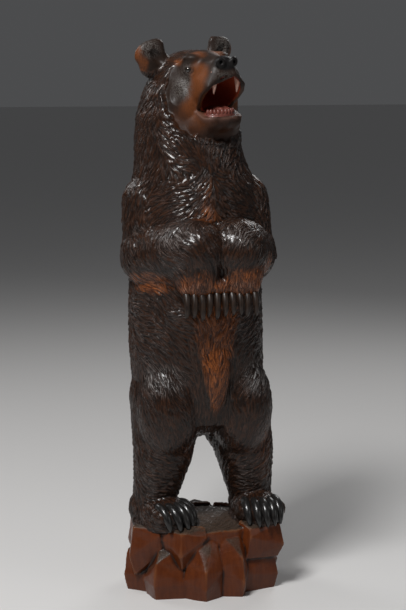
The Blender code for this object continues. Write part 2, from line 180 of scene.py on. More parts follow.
def shaped(name, drawn):
    """A new object from a bmesh, which is freed."""
    mesh = bpy.data.meshes.new(name)
    bmesh.ops.recalc_face_normals(drawn, faces=drawn.faces)
    drawn.to_mesh(mesh)
    drawn.free()
    obj = bpy.data.objects.new(name, mesh)
    bpy.context.scene.collection.objects.link(obj)
    return obj


def evaluated(obj):
    """The object with its modifiers applied."""
    graph = bpy.context.evaluated_depsgraph_get()
    mesh = bpy.data.meshes.new_from_object(obj.evaluated_get(graph))
    obj.modifiers.clear()
    obj.data = mesh
    return obj


def fused(obj, cell, smoothing):
    """One skin over everything in the object, on a grid of this cell."""
    remesh = obj.modifiers.new("Fuse", "REMESH")
    remesh.mode = "VOXEL"
    remesh.voxel_size = cell
    if smoothing:
        smooth = obj.modifiers.new("Blend", "SMOOTH")
        smooth.factor = 0.5
        smooth.iterations = smoothing
    return evaluated(obj)


def hollowed(obj, tool):
    """The object without what the tool takes up."""
    cut = obj.modifiers.new("Hollow", "BOOLEAN")
    cut.operation = "DIFFERENCE"
    cut.object = tool
    cut.solver = "EXACT"
    evaluated(obj)
    bpy.data.objects.remove(tool)
    return obj


def thinned(obj, triangles):
    """Fewer facets, kept where the form bends most."""
    tidy = obj.modifiers.new("Triangles", "TRIANGULATE")
    tidy.quad_method = "BEAUTY"
    evaluated(obj)
    fewer = obj.modifiers.new("Fewer", "DECIMATE")
    fewer.ratio = min(1.0, triangles / len(obj.data.polygons))
    return evaluated(obj)


# The figure's masses

Section = namedtuple("Section", "z x y width depth")  # half-width and half-depth of the trunk at a height
TRUNK = (
    Section(146, 0, 14, 34, 50),
    Section(165, 0, 14, 96, 78),
    Section(215, -3, 12, 107, 86),
    Section(280, -7, 10, 108, 91),
    Section(340, -8, 10, 107, 94),
    Section(420, -8, 12, 105, 90),
    Section(500, -7, 16, 103, 88),
    Section(548, -8, 22, 98, 86),
    Section(585, -12, 30, 87, 84),
    Section(620, -18, 37, 80, 80),
    Section(660, -18, 42, 76, 76),
    Section(700, -15, 44, 66, 68),
    Section(730, -15, 46, 50, 54),
)
# The middle and the half-axes of the rump, the tail and the belly
TRUNK_LUMPS = (
    ((0, 56, 205), (88, 48, 82)),
    ((0, 104, 196), (16, 14, 26)),
    ((2, -30, 252), (42, 58, 82)),
)


def trunk(clay):
    """Belly, chest and neck: one column of oval sections, with the rump and the tail."""
    rings = [
        Matrix.Translation((s.x, s.y, s.z)) @ Matrix.Diagonal((s.width, s.depth, 1, 1)) for s in TRUNK
    ]
    clay.loft(rings, LOFT_SIDES)
    clay.balls(TRUNK_LUMPS)


def leg(clay, side):
    """Thigh and shin, with the inside of the thigh and the swell of its front."""
    hip, knee, ankle = (56 * side - 2, 10, 205), (69 * side + 2, -4, 112), (83 * side + 2, 3, 30)
    clay.limb(hip, knee, 59, 46)
    clay.limb(knee, ankle, 46, 32)
    clay.limb((20 * side, 8, 190), (46 * side, 4, 118), 26, 22)
    clay.limb((15 * side, 6, 162), (35 * side, 4, 124), 20, 17)
    clay.ball((61 * side - 2, -25, 188), (50, 55, 82))


FOOT_PLACE = {
    side: Matrix.Translation((84 * side + 1, 0, 0)) @ Matrix.Rotation(math.radians(turn), 4, "Z")
    for side, turn in zip(SIDES, (27, 2))
}
# The instep, the heel and the sole
FOOT_LUMPS = (
    ((0, -26, 10), (38, 50, 30)),
    ((0, 8, 16), (32, 34, 34)),
    ((0, -22, -4), (42, 54, 15)),
)
TOE_RADII = (9.5, 15, 13)
TOES_HALF_WIDTH, TOES_FRONT, TOES_CURVE, TOES_HEIGHT = 31, -64, 13, 15


def foot(clay, side):
    """Broad, with a row of toes; its sole is let into the ground."""
    clay.place = FIGURE @ FOOT_PLACE[side]
    clay.balls(FOOT_LUMPS)
    for k in range(CLAWS):
        clay.ball(toe(k), TOE_RADII)
    clay.place = FIGURE


def toe(k):
    """The middle of a toe, in the frame of its foot."""
    share = k / (CLAWS - 1) * 2 - 1
    return Vector((TOES_HALF_WIDTH * share, TOES_FRONT + TOES_CURVE * share * share, TOES_HEIGHT))


PAW_TOE_RADII = (7, 11, 12)


def arm(clay, side):
    """The upper arm hangs; the forearm lies across the chest and its paw hangs from the wrist."""
    shoulder, elbow, wrist = (73 * side - 6, 16, 520), (76 * side - 7, -8, 438), (33 * side + 3, -82, 450)
    clay.limb(shoulder, elbow, 45, 45)
    clay.limb(elbow, wrist, 50, 47)
    clay.ball((35 * side + 3, -87, 425), (38, 36, 56))
    for k in range(CLAWS):
        clay.ball((paw_toe(side, k), -104, 396), PAW_TOE_RADII)


def paw_toe(side, k):
    """How far to the bear's left a toe of its paw is."""
    return 31 * side + 2 + PAW_CLAW_PITCH * (k - (CLAWS - 1) / 2)


# The chin, the skull, the brow, the nose and the throat, then the lumps on each side of them
HEAD_LUMPS = (
    ((0, -88, -62), (18, 30, 20)),
    ((0, -10, -6), (62, 60, 54)),
    ((0, -50, 16), (42, 40, 33)),
    ((0, -106, 28), (21, 14, 12)),
    ((0, -30, -92), (60, 62, 46)),
)
FACE_LUMPS = (
    ((21, -86, -12), (22, 37, 28)),
    ((12, -96, 6), (20, 26, 22)),
    ((17, -85, -62), (21, 30, 21)),
    ((35, -32, -38), (31, 44, 48)),
    ((20, -60, -74), (30, 40, 28)),
    ((26, -60, 37), (16, 16, 8)),
)
MUZZLE = ((0, -60, 10), (0, -92, 10), 34, 29)
EAR_LUMPS = (
    ((0, 0, 10), (26, 13, 26)),
    ((0, 0, 28), (23, 10, 17)),
    ((-14, 2, 22), (19, 9, 17)),
)
EAR_PLACE = {
    side: Matrix.Translation((56 * side, 0, 28))
    @ Matrix.Rotation(math.radians(42 * side), 4, "Y")
    @ Matrix.Rotation(math.radians(16 * side), 4, "Z")
    for side in SIDES
}


def head(clay):
    """Skull, jaw, muzzle, cheeks and ears."""
    clay.place = FIGURE @ HEAD
    clay.balls(HEAD_LUMPS)
    clay.limb(*MUZZLE)
    for side in SIDES:
        clay.balls(FACE_LUMPS, side)
        clay.place = FIGURE @ HEAD @ EAR_PLACE[side]
        clay.balls(EAR_LUMPS, side)
        clay.place = FIGURE @ HEAD
    clay.place = FIGURE


MOUTH = ((0, -76, -17), (33, 62, 35))
# y and z of the corners of the blocks cut out between the lips
LIP_LINE = (
    ((-146, -56), (-98, -56), (-76, -46), (-114, -9), (-146, -9)),
    ((-146, -10), (-113, -10), (-127, 18), (-146, 18)),
)
LIP_CUT = 60  # half the width of the cut between the lips, which is open at the cheeks too
# A nostril, the hollow of an eye and that of a cheek
FACE_HOLLOWS = (
    ((12.5, -121, 29), (4.5, 9, 4.5)),
    ((44, -70, 17), (13, 9, 9)),
    ((65, -62, -10), (16, 20, 28)),
)
EAR_CUP = ((-8, -12, 15), (9, 8, 16))


def hollows():
    """What is cut into the head: the mouth, the nostrils, the ears' cups and the eyes' hollows."""
    tool = Clay(FIGURE @ HEAD)
    tool.ball(*MOUTH)
    for block in LIP_LINE:
        tool.hull([(x, y, z) for y, z in block for x in (-LIP_CUT, LIP_CUT)])
    for side in SIDES:
        tool.balls(FACE_HOLLOWS, side)
        tool.place = FIGURE @ HEAD @ EAR_PLACE[side]
        tool.balls([EAR_CUP], side)
        tool.place = FIGURE @ HEAD
    return tool.mesh


def ground(clay):
    """The plinth's core and its domed top, higher under the bear than at the rim."""
    clay.place = Matrix()
    rim = 1 - RIM_DROP / PLINTH_HEIGHT
    # Each ring's share of the plinth's width, and of its height
    rings = [(GROUND_SHARE, 0.1), (GROUND_SHARE, 0.5), (GROUND_SHARE, rim)]
    rings += [(GROUND_SHARE * s, 1 - (1 - rim) * s * s) for s in (0.8, 0.6, 0.4, 0.2, 0.05)]
    clay.loft(
        [
            Matrix.Translation((0, 0, height * PLINTH_HEIGHT))
            @ Matrix.Diagonal((share * PLINTH_WIDTH / 2, share * PLINTH_DEPTH / 2, 1, 1))
            for share, height in rings
        ],
        LOFT_SIDES,
    )
    clay.place = FIGURE


def rough_figure():
    """The bear's masses, blended and hollowed, and their skin before they were hollowed."""
    clay = Clay()
    trunk(clay)
    head(clay)
    for side in SIDES:
        leg(clay, side)
        foot(clay, side)
        arm(clay, side)
    figure = fused(shaped("masses", clay.mesh), ROUGH_CELL, ROUGH_SMOOTHING)
    skin = skin_tree(figure)
    tool = fused(shaped("hollows", hollows()), HOLLOWS_CELL, 1)
    return hollowed(figure, tool), skin


# The fur

Cut = namedtuple("Cut", "length width depth")
SHAGGY = Cut(28, 8.0, 5.6)
WAVY = Cut(26, 6.6, 4.6)
DENSE = Cut(19, 5.8, 4.2)
COMBED = Cut(24, 4.8, 2.4)
CLOSE = Cut(15, 4.4, 1.7)

FurGuide = namedtuple("FurGuide", "x y z across back up cut")
# Which way the fur lies and how it is cut, at places on the bear's left; its right side mirrors it.
FUR_GUIDES = (
    FurGuide(0, 70, 770, 0.0, 1.0, -0.4, CLOSE),
    FurGuide(70, 50, 720, 0.3, 0.7, -0.7, DENSE),
    FurGuide(75, 20, 660, 0.0, 0.4, -1.0, DENSE),
    FurGuide(0, 118, 660, 0.0, 0.2, -1.0, SHAGGY),
    FurGuide(50, -30, 640, -0.7, -0.1, -0.7, DENSE),
    FurGuide(0, -48, 640, 0.0, 0.0, -1.0, DENSE),
    FurGuide(45, -50, 590, -0.8, -0.1, -0.4, WAVY),
    FurGuide(14, -66, 560, 0.8, 0.0, -0.6, WAVY),
    FurGuide(55, -55, 540, 1.0, 0.3, -0.3, WAVY),
    FurGuide(14, -74, 505, 0.8, 0.0, -0.6, WAVY),
    FurGuide(60, -60, 500, 1.0, 0.3, -0.25, WAVY),
    FurGuide(85, -20, 560, 0.5, 0.0, -0.9, SHAGGY),
    FurGuide(120, 0, 510, 0.0, -0.1, -1.0, SHAGGY),
    FurGuide(128, 0, 450, -0.1, -0.4, -1.0, SHAGGY),
    FurGuide(115, -45, 470, 0.0, -0.5, -1.0, COMBED),
    FurGuide(110, -50, 415, -0.8, -0.4, -0.5, COMBED),
    FurGuide(85, -100, 440, -0.9, -0.2, -0.35, COMBED),
    FurGuide(60, -110, 475, -0.8, -0.2, -0.6, COMBED),
    FurGuide(22, -122, 468, -0.4, 0.0, -1.0, COMBED),
    FurGuide(38, -122, 410, 0.0, 0.0, -1.0, CLOSE),
    FurGuide(95, -50, 380, -1.0, -0.1, -0.3, WAVY),
    FurGuide(60, -75, 340, -1.0, -0.2, -0.3, WAVY),
    FurGuide(110, 0, 350, -0.3, -1.0, -0.15, WAVY),
    FurGuide(95, -50, 300, -0.9, -0.5, -0.3, WAVY),
    FurGuide(14, -88, 330, -0.5, 0.0, -1.0, COMBED),
    FurGuide(14, -88, 270, -0.4, 0.0, -1.0, COMBED),
    FurGuide(8, -80, 210, -0.2, 0.0, -1.0, COMBED),
    FurGuide(45, -80, 250, -0.6, -0.1, -0.8, COMBED),
    FurGuide(85, -62, 235, -0.35, -0.3, -0.9, COMBED),
    FurGuide(115, 0, 230, 0.0, -0.4, -1.0, COMBED),
    FurGuide(70, -72, 150, -0.35, 0.0, -1.0, CLOSE),
    FurGuide(70, -48, 95, -1.0, 0.0, -0.45, DENSE),
    FurGuide(84, -30, 60, -1.0, 0.0, -0.4, DENSE),
    FurGuide(115, 0, 90, -0.1, -0.7, -0.5, DENSE),
    FurGuide(35, 0, 110, 0.1, 0.6, -0.8, DENSE),
    FurGuide(84, -55, 40, 0.0, -1.0, -0.4, CLOSE),
    FurGuide(0, 105, 520, 0.0, 0.0, -1.0, SHAGGY),
    FurGuide(85, 60, 540, 0.2, 0.1, -1.0, SHAGGY),
    FurGuide(90, 60, 380, 0.1, 0.1, -1.0, SHAGGY),
    FurGuide(0, 100, 330, 0.0, 0.0, -1.0, SHAGGY),
    FurGuide(80, 80, 220, 0.0, 0.0, -1.0, SHAGGY),
    FurGuide(80, 45, 100, 0.0, 0.0, -1.0, DENSE),
    FurGuide(90, 40, 40, 0.2, 0.3, -1.0, DENSE),
)
GUIDES = np.array(
    [(g.x * side, g.y, g.z, g.across * side, g.back, g.up, *g.cut) for g in FUR_GUIDES for side in SIDES]
)
COMB_BLOCK = 20000  # points combed at a time
GUIDE_FADE, GUIDE_ROOM = -3.5, 6  # how fast a guide's pull fades, and how far off it starts to
COAT_BEND, COAT_BEND_PITCH = 0.30, 42  # the coat's slow waves to each side
FUR_BASE = 0.4  # how far the bottoms of the cuts stand off the smooth masses
RUFF = 5.0
# Of the bare face and of an ear, in the head's drawing
FACE_MIDDLE, FACE_REACH = (0, -78, -18), (88, 72, 82)
EAR_MIDDLE, EAR_REACH = (72, -2, 46), (34, 26, 30)
FACE_EDGE_WAVE = 0.025
WAVE_COUNT = 7


def smooth_step(low, high, values):
    """0 at low, 1 at high and smooth between; low may be the greater."""
    share = np.clip((values - low) / (high - low), 0, 1)
    return share * share * (3 - 2 * share)


def waves(points, length, seed):
    """A smooth pattern from -1 to 1, the same each time, whose hills are about this far apart."""
    chance = np.random.default_rng(seed)
    total = np.zeros(len(points))
    for _ in range(WAVE_COUNT):
        way = chance.normal(size=3)
        way *= math.tau / length * chance.uniform(0.6, 1.4) / np.linalg.norm(way)
        total += np.sin(points @ way + chance.uniform(0, math.tau))
    return total / math.sqrt(WAVE_COUNT)


def away(points, middle, reach):
    """How far points are from a middle, as a share of the reach each way."""
    return np.linalg.norm((points - middle) / reach, axis=1)


def combed(points, normals):
    """How the fur lies at points of the skin, and how long, wide and deep its strands are there."""
    ways, cuts = [], []
    for start in range(0, len(points), COMB_BLOCK):
        block, skin = points[start : start + COMB_BLOCK], normals[start : start + COMB_BLOCK]
        far = np.linalg.norm(block[:, None] - GUIDES[None, :, :3], axis=2) + GUIDE_ROOM
        weights = far**GUIDE_FADE
        weights /= weights.sum(axis=1)[:, None]
        found = weights @ GUIDES[:, 3:]
        way = found[:, :3] - skin * np.sum(found[:, :3] * skin, axis=1)[:, None]
        ways.append(way / np.maximum(np.linalg.norm(way, axis=1), 1e-6)[:, None])
        cuts.append(found[:, 3:])
    ways, cuts = np.concatenate(ways), np.concatenate(cuts)
    bend = COAT_BEND * waves(points, COAT_BEND_PITCH, 5)[:, None]
    across = np.cross(normals, ways)
    return ways * np.cos(bend) + across * np.sin(bend), cuts


def in_head(points):
    """The same points in the head's drawing."""
    place = np.array(HEAD.inverted())
    return points @ place[:3, :3].T + place[:3, 3]


def from_face(head_points):
    """How far points are from the middle of the bare face, as a share of the way to its edge."""
    edge = FACE_EDGE_WAVE * waves(head_points, 16, 31)
    return away(head_points, FACE_MIDDLE, FACE_REACH) + edge


def ruff(points):
    """How much thicker the fur is where it begins, behind the cheeks and under the jaw."""
    head_points = in_head(points)
    far = from_face(head_points)
    below = 1 - smooth_step(-10, 25, head_points[:, 2])
    return RUFF * below * smooth_step(0.94, 1.02, far) * (1 - smooth_step(1.1, 1.7, far))


def furriness(points):
    """1 where the fur is cut deep, 0 on the bare face, in the ears and on the ground."""
    head_points = in_head(points)
    short = 1 - 0.5 * smooth_step(10, 35, head_points[:, 2])
    bare = smooth_step(0.93, 0.97, from_face(head_points)) * short
    for x in (-EAR_MIDDLE[0], EAR_MIDDLE[0]):
        bare *= smooth_step(0.8, 1.1, away(head_points, (x, *EAR_MIDDLE[1:]), EAR_REACH))
    return bare


def skin_of(mesh):
    """The places and normals of a mesh's points, in the figure's drawing."""
    count = len(mesh.vertices)
    places, normals = np.empty(count * 3), np.empty(count * 3)
    mesh.vertices.foreach_get("co", places)
    mesh.vertices.foreach_get("normal", normals)
    return (places.reshape(-1, 3) - (0, 0, PLINTH_HEIGHT)) / UNIT, normals.reshape(-1, 3)


def placed(mesh, points):
    """Moves a mesh's points, which stay within the solids' reach at the sides and on top."""
    low = np.array(SOLIDS_BOX[0]) + (EDGE_ROOM, EDGE_ROOM, -1.0)
    high = np.array(SOLIDS_BOX[1]) - (EDGE_ROOM, EDGE_ROOM, 0.0)
    places = np.clip(points * UNIT + (0, 0, PLINTH_HEIGHT), low, high)
    mesh.vertices.foreach_set("co", places.ravel())
    mesh.update()


Locks = namedtuple("Locks", "seat way across owner lift")
# How the strands vary, and how one is shaped, as shares of its length, width and depth
SIZE_RANGE, DEPTH_RANGE = (0.85, 1.15), (0.7, 1.0)
LEAN = 0.14
STRAND_REACH = 0.55  # how far from its seat the skin is looked over for it
WAVER = 0.10
TAKEN_HALF_WIDTH, TAKEN_HALF_LENGTH = 0.52, 0.30  # the room round its seat where no other starts
END_SHARPNESS, END_ROUNDNESS = 2.6, 0.6
ROOT_HEIGHT = 0.35
SAME_SIDE = 0.25  # how nearly the skin must face its seat's way to carry it


def point_tree(points):
    """The points, to find which lies nearest a place."""
    tree = KDTree(len(points))
    for index, point in enumerate(points):
        tree.insert(point, index)
    tree.balance()
    return tree


def locks_on(points, normals, ways, cuts):
    """Strands that overlap and lie these ways, cut this long, wide and deep.

    Gives where each one is, and for each point which one is on top and how high."""
    count = len(points)
    tree = point_tree(points)
    lift, owner = np.zeros(count), np.zeros(count, int)
    taken = np.zeros(count, bool)
    chance = random.Random(3)
    order = list(range(count))
    chance.shuffle(order)
    seats, lies, sides = [], [], []
    phase = waves(points, 60, 11) * math.pi
    for seed in order:
        if taken[seed]:
            continue
        length, width, depth = cuts[seed] * chance.uniform(*SIZE_RANGE)
        turn = chance.uniform(-LEAN, LEAN)
        across = np.cross(normals[seed], ways[seed])
        way = ways[seed] * math.cos(turn) + across * math.sin(turn)
        across = np.cross(normals[seed], way)
        near = tree.find_range(points[seed], length * STRAND_REACH)
        near = np.array([index for _, index, _ in near])
        gap = points[near] - points[seed]
        share = gap @ way / length + 0.5
        offset = gap @ across + WAVER * width * np.sin(share * 5 + phase[seed])
        beside = np.abs(offset) < width * TAKEN_HALF_WIDTH
        taken[near[beside & (np.abs(share - 0.5) < TAKEN_HALF_LENGTH)]] = True
        outline = np.clip(1 - np.abs(share * 2 - 1) ** END_SHARPNESS, 0, 1) ** END_ROUNDNESS
        half = width / 2 * outline + 1e-6
        round_top = np.sqrt(np.clip(1 - (offset / half) ** 2, 0, 1))
        slope = ROOT_HEIGHT + (1 - ROOT_HEIGHT) * np.clip(share * 1.25, 0, 1)
        on_it = (share > 0) & (share < 1)
        raised = np.where(on_it, round_top * slope, 0) * depth * chance.uniform(*DEPTH_RANGE)
        raised *= normals[near] @ normals[seed] > SAME_SIDE
        higher = raised > lift[near]
        lift[near[higher]] = raised[higher]
        owner[near[higher]] = len(seats)
        seats.append(points[seed])
        lies.append(way)
        sides.append(across)
    return Locks(np.array(seats), np.array(lies), np.array(sides), owner, lift)


STRAND_SHIFT = 400  # how far a strand's pattern is moved at random, so that no two are alike


def furred(figure):
    """Raises the skin in strands, thins the mesh and gives each facet its place on its strand."""
    mesh = figure.data
    points, normals = skin_of(mesh)
    ways, cuts = combed(points, normals)
    locks, depths = locks_on(points, normals, ways, cuts), cuts[:, 2]
    fur = furriness(points)
    moved = points + normals * ((locks.lift + FUR_BASE) * fur + ruff(points))[:, None]
    placed(mesh, moved)
    tree = point_tree(moved)
    figure = thinned(figure, BEAR_TRIANGLES)
    mesh = figure.data
    points, normals = skin_of(mesh)
    nearest = np.array([tree.find(point)[1] for point in points])
    # how low each point lies between strands, which the finish darkens as painted shade
    low = 1 - np.clip(locks.lift[nearest] / depths[nearest], 0, 1)
    written(mesh, "groove", low * fur[nearest])
    written(mesh, "fur", fur[nearest])
    corners = np.empty(len(mesh.loops), int)
    mesh.loops.foreach_get("vertex_index", corners)
    triangles = corners.reshape(-1, 3)
    middles = points[triangles].mean(axis=1)
    facet = np.array([tree.find(middle)[1] for middle in middles])
    strand = locks.owner[facet]
    chance = np.random.default_rng(9)
    shift = chance.uniform(-STRAND_SHIFT, STRAND_SHIFT, (len(locks.seat), 2))
    gap = points[triangles] - locks.seat[strand][:, None]
    across = np.einsum("ijk,ik->ij", gap, locks.across[strand]) + shift[strand, :1]
    along = np.einsum("ijk,ik->ij", gap, locks.way[strand]) + shift[strand, 1:]
    layer = mesh.uv_layers.new(name="strands")
    layer.data.foreach_set("uv", np.stack([across, along], axis=2).astype(np.float32).ravel())
    return figure


def written(mesh, name, values):
    """A number at each point of the mesh that its finish can read."""
    attribute = mesh.attributes.new(name, "FLOAT", "POINT")
    attribute.data.foreach_set("value", values.astype(np.float32))


# The face's rims and rolls, in the head's drawing

# y and z from a corner of the mouth to the front, seen from the side, and z at the front
UPPER_LIP, UPPER_LIP_FRONT = ((-77, -44), (-90, -31), (-103, -18), (-114, -7), (-121, 8)), 19
LOWER_LIP, LOWER_LIP_FRONT = ((-77, -48), (-87, -53), (-98, -58), (-108, -59)), -60
LIP_RADIUS = 2.4
LIP_FRONT_HALF = 12
LID_RING, LID_RADIUS, LID_SQUASH, LID_STAND = 6.6, 1.5, 0.8, 2.2
NOSTRIL = Vector((12.5, -119, 29))
NOSTRIL_RING, NOSTRIL_RADIUS = 5.6, 2.8
RING_STEPS = 14


def skin_tree(obj):
    """The object's skin, to find where a line meets it; in the head's drawing."""
    to_head = (FIGURE @ HEAD).inverted()
    corners = [to_head @ vertex.co for vertex in obj.data.vertices]
    return BVHTree.FromPolygons(corners, [face.vertices for face in obj.data.polygons])


def met(skin, start, way):
    """Where a line from start first meets the skin."""
    return skin.ray_cast(Vector(start), Vector(way).normalized())[0]


def lip(clay, skin, profile, front_height):
    """A roll along the edge of the mouth, from one corner round the front to the other."""
    halves = [[met(skin, (90 * side, y, z), (-side, 0, 0)) for y, z in profile] for side in SIDES]
    front_places = (-LIP_FRONT_HALF, 0, LIP_FRONT_HALF)
    front = [met(skin, (x, -200, front_height), (0, 1, 0)) for x in front_places]
    path = halves[0] + front + halves[1][::-1]
    path = [point + Vector((0, 1.2, 0)) for point in path if point]
    clay.roll(path, [LIP_RADIUS] * len(path))
    return [first.lerp(last, k / 4) for first, last in zip(path, path[1:]) for k in range(4)]


def ring(clay, centre, way, radius, thickness, squash=1.0):
    """A round bead about a line through centre."""
    turn = Vector(way).to_track_quat("Z", "Y").to_matrix()
    path = [
        Vector(centre) + turn @ Vector((radius * math.cos(a), radius * squash * math.sin(a), 0))
        for a in (math.tau * k / RING_STEPS for k in range(RING_STEPS + 1))
    ]
    clay.roll(path, [thickness] * len(path))


def eye_place(side):
    """The middle of an eye in the head's drawing, read from the solids."""
    low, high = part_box("glass_eye_right" if side < 0 else "glass_eye_left")
    return (FIGURE @ HEAD).inverted() @ ((low + high) / 2)


EYE_WAY = Vector((0.8, -0.6, 0.05))  # where the left eye looks


def face_rolls(clay, skin):
    """Lips, eyelids and the nostrils' rims."""
    clay.place = FIGURE @ HEAD
    upper = lip(clay, skin, UPPER_LIP, UPPER_LIP_FRONT)
    lower = lip(clay, skin, LOWER_LIP, LOWER_LIP_FRONT)
    for side in SIDES:
        way = Vector((EYE_WAY.x * side, EYE_WAY.y, EYE_WAY.z)).normalized()
        ring(clay, eye_place(side) + way * LID_STAND, way, LID_RING, LID_RADIUS, LID_SQUASH)
        nostril = Vector((NOSTRIL.x * side, NOSTRIL.y, NOSTRIL.z))
        ring(clay, nostril, (0.25 * side, -1, -0.1), NOSTRIL_RING, NOSTRIL_RADIUS)
    clay.place = FIGURE
    return upper, lower


def bear():
    """The bear without its claws, teeth and eyes."""
    rough, skin = rough_figure()
    clay = Clay()
    lips = face_rolls(clay, skin)
    clay.mesh.from_mesh(rough.data)
    bpy.data.objects.remove(rough)
    figure = furred(fused(shaped("bear_figure", clay.mesh), FINE_CELL, 2))
    points, normals = skin_of(figure.data)
    for name, values in {**marks(points, normals), **lip_marks(points, *lips)}.items():
        written(figure.data, name, values)
    figure.data.shade_smooth()
    return figure


# Where the stain is rubbed through and where it is black; where a sheen is painted on the hair, and where
# shade is painted under the jaw

Patch = namedtuple("Patch", "x y z across deep high strength")
WORN = (
    Patch(-98, -47, 398, 44, 60, 22, 0.9),
    Patch(-56, -118, 390, 30, 36, 30, 0.75),
    Patch(-28, -118, 398, 24, 36, 34, 0.6),
    Patch(2, -118, 388, 24, 36, 26, 0.75),
    Patch(30, -118, 398, 24, 36, 36, 0.6),
    Patch(60, -114, 396, 34, 36, 38, 0.8),
    Patch(88, -77, 412, 26, 46, 40, 0.9),
    Patch(-10, -72, 530, 16, 24, 52, 0.35),
    Patch(-14, -74, 500, 34, 24, 20, 0.4),
    Patch(5, -88, 350, 46, 40, 26, 0.75),
    Patch(2, -88, 322, 42, 40, 40, 0.85),
    Patch(3, -90, 285, 33, 40, 46, 0.9),
    Patch(4, -90, 250, 24, 40, 46, 0.95),
    Patch(5, -84, 216, 15, 40, 40, 0.95),
    Patch(60, -60, 140, 60, 40, 70, 0.22),
    Patch(-60, -60, 140, 60, 40, 70, 0.2),
    Patch(95, -20, 120, 30, 50, 90, 0.35),
    Patch(-40, -10, 120, 26, 50, 60, 0.3),
)
# Painted sheen: pale grey laid on the hair's ridges on top of the thighs and forearms, where the key
# lamp's reflection falls
PAINTED_SHEEN_PATCHES = (
    Patch(-84, -66, 242, 40, 44, 26, 0.9),
    Patch(80, -68, 240, 28, 44, 30, 0.9),
    Patch(-68, -96, 476, 44, 38, 22, 0.55),
    Patch(30, -118, 478, 30, 30, 22, 0.6),
    Patch(-50, -120, 398, 36, 20, 8, 0.3),
    Patch(30, -120, 398, 40, 20, 8, 0.3),
)
# On the right half of the face, in the head's drawing; its left half mirrors it.
FACE_WORN = (
    Patch(-31, -86, 14, 15, 28, 26, 0.7),
    Patch(-37, -88, -12, 15, 28, 26, 0.7),
    Patch(-44, -86, -38, 20, 30, 24, 0.6),
    Patch(-16, -66, 42, 16, 20, 12, 0.5),
    Patch(-22, -60, 44, 12, 12, 10, 0.4),
    Patch(-37, -38, 31, 10, 13, 10, 0.6),
    Patch(-48, -72, -58, 34, 46, 34, 0.4),
    Patch(-20, -96, -76, 36, 40, 30, 0.4),
    Patch(-92, -2, 52, 9, 26, 26, 0.65),
    Patch(-82, -2, 30, 9, 26, 18, 0.6),
)
GREY = (
    Patch(-45, -60, -8, 20, 24, 22, 1.0),
    Patch(-42, -60, 20, 16, 18, 14, 0.5),
    Patch(-10, -124, 12, 18, 14, 14, 0.6),
    Patch(-72, -6, 54, 20, 20, 16, 0.9),
)
FAR_EAR = Patch(76, -6, 50, 26, 24, 24, 1.0)
NOSE_MIDDLE, NOSE_REACH = (0, -118, 29), (25, 15, 13)
MOUTH_LINING = 1.12  # how far out the red of the mouth reaches, as a share of its hollow
MOUTH_FLOOR, MOUTH_FRONT = -56, -124
LIP_STAIN_FADE = 2.2


def mirrored(patches):
    """The patches on both halves of the face."""
    return [p._replace(x=p.x * side) for p in patches for side in SIDES]


def patch(points, p):
    """1 in the middle of a patch, fading to nothing."""
    far = away(points, (p.x, p.y, p.z), (p.across, p.deep, p.high))
    return p.strength * (1 - smooth_step(0.35, 1.25, far))


def covered(points, patches):
    """How much patches that run into one another cover each point."""
    left = np.ones(len(points))
    for p in patches:
        left *= 1 - patch(points, p)
    return 1 - left


def marks(points, normals):
    """The numbers that the wood's finish reads, for each point."""
    head_points = in_head(points)
    head_normals = normals @ np.array(HEAD.to_3x3())
    worn = 1 - (1 - covered(points, WORN)) * (1 - covered(head_points, mirrored(FACE_WORN)))
    inside = away(head_points, *MOUTH) < MOUTH_LINING
    inside &= np.sum((np.array(MOUTH[0]) - head_points) * head_normals, axis=1) > 0
    inside &= (head_points[:, 2] > MOUTH_FLOOR) & (head_points[:, 1] > MOUTH_FRONT)
    under_jaw = smooth_step(-30, -85, head_points[:, 2]) * (from_face(head_points) < 1.1)
    return {
        "worn": worn,
        "mouth": inside.astype(float),
        "nose": 1 - smooth_step(0.85, 1.1, away(head_points, NOSE_MIDDLE, NOSE_REACH)),
        "grey": covered(head_points, [*mirrored(GREY), FAR_EAR]),
        "painted_sheen": covered(points, PAINTED_SHEEN_PATCHES),
        "shade": under_jaw * (1 - inside),
    }


def lip_marks(points, upper, lower):
    """1 on the lips."""
    head_points = in_head(points)
    found = {}
    for name, path in (("upper_lip", upper), ("lower_lip", lower)):
        near = np.full(len(points), 99.0)
        for place in path:
            near = np.minimum(near, np.linalg.norm(head_points - tuple(place), axis=1))
        found[name] = 1 - smooth_step(LIP_RADIUS, LIP_RADIUS + LIP_STAIN_FADE, near)
    return found


# The plinth

Rock = namedtuple("Rock", "left arris right foot brow crest reach back")
FRONT_ROCKS = (
    Rock(-107, -84, -62, (0, 0, 0), (0.62, 0.60, 0.34), 0.78, 0.97, 0.72),
    Rock(-63, -44, -23, (0, 0, 0), (0.32, 0.52, 0.36), 0.78, 1.05, 0.66),
    Rock(-25, -9, 4, (0, 0, 0), (0.48, 0.42, 0.54), 0.93, 1.06, 0.72),
    Rock(3, 18, 28, (0, 0, 0), (0.62, 0.56, 0.66), 0.90, 1.01, 0.74),
    Rock(25, 53, 84, (0, 0, 0), (0.46, 0.54, 0.40), 0.66, 1.00, 0.70),
    Rock(27, 52, 96, (0.50, 0.46, 0.58), (0.94, 0.96, 0.99), 1.0, 1.08, 0.70),
    Rock(-99, -70, -48, (0.60, 0.26, 0.62), (0.93, 0.97, 0.97), 1.03, 1.0, 0.70),
    Rock(-55, -27, -7, (0.66, 0.42, 0.78), (0.97, 0.94, 0.93), 1.0, 0.94, 0.74),
)
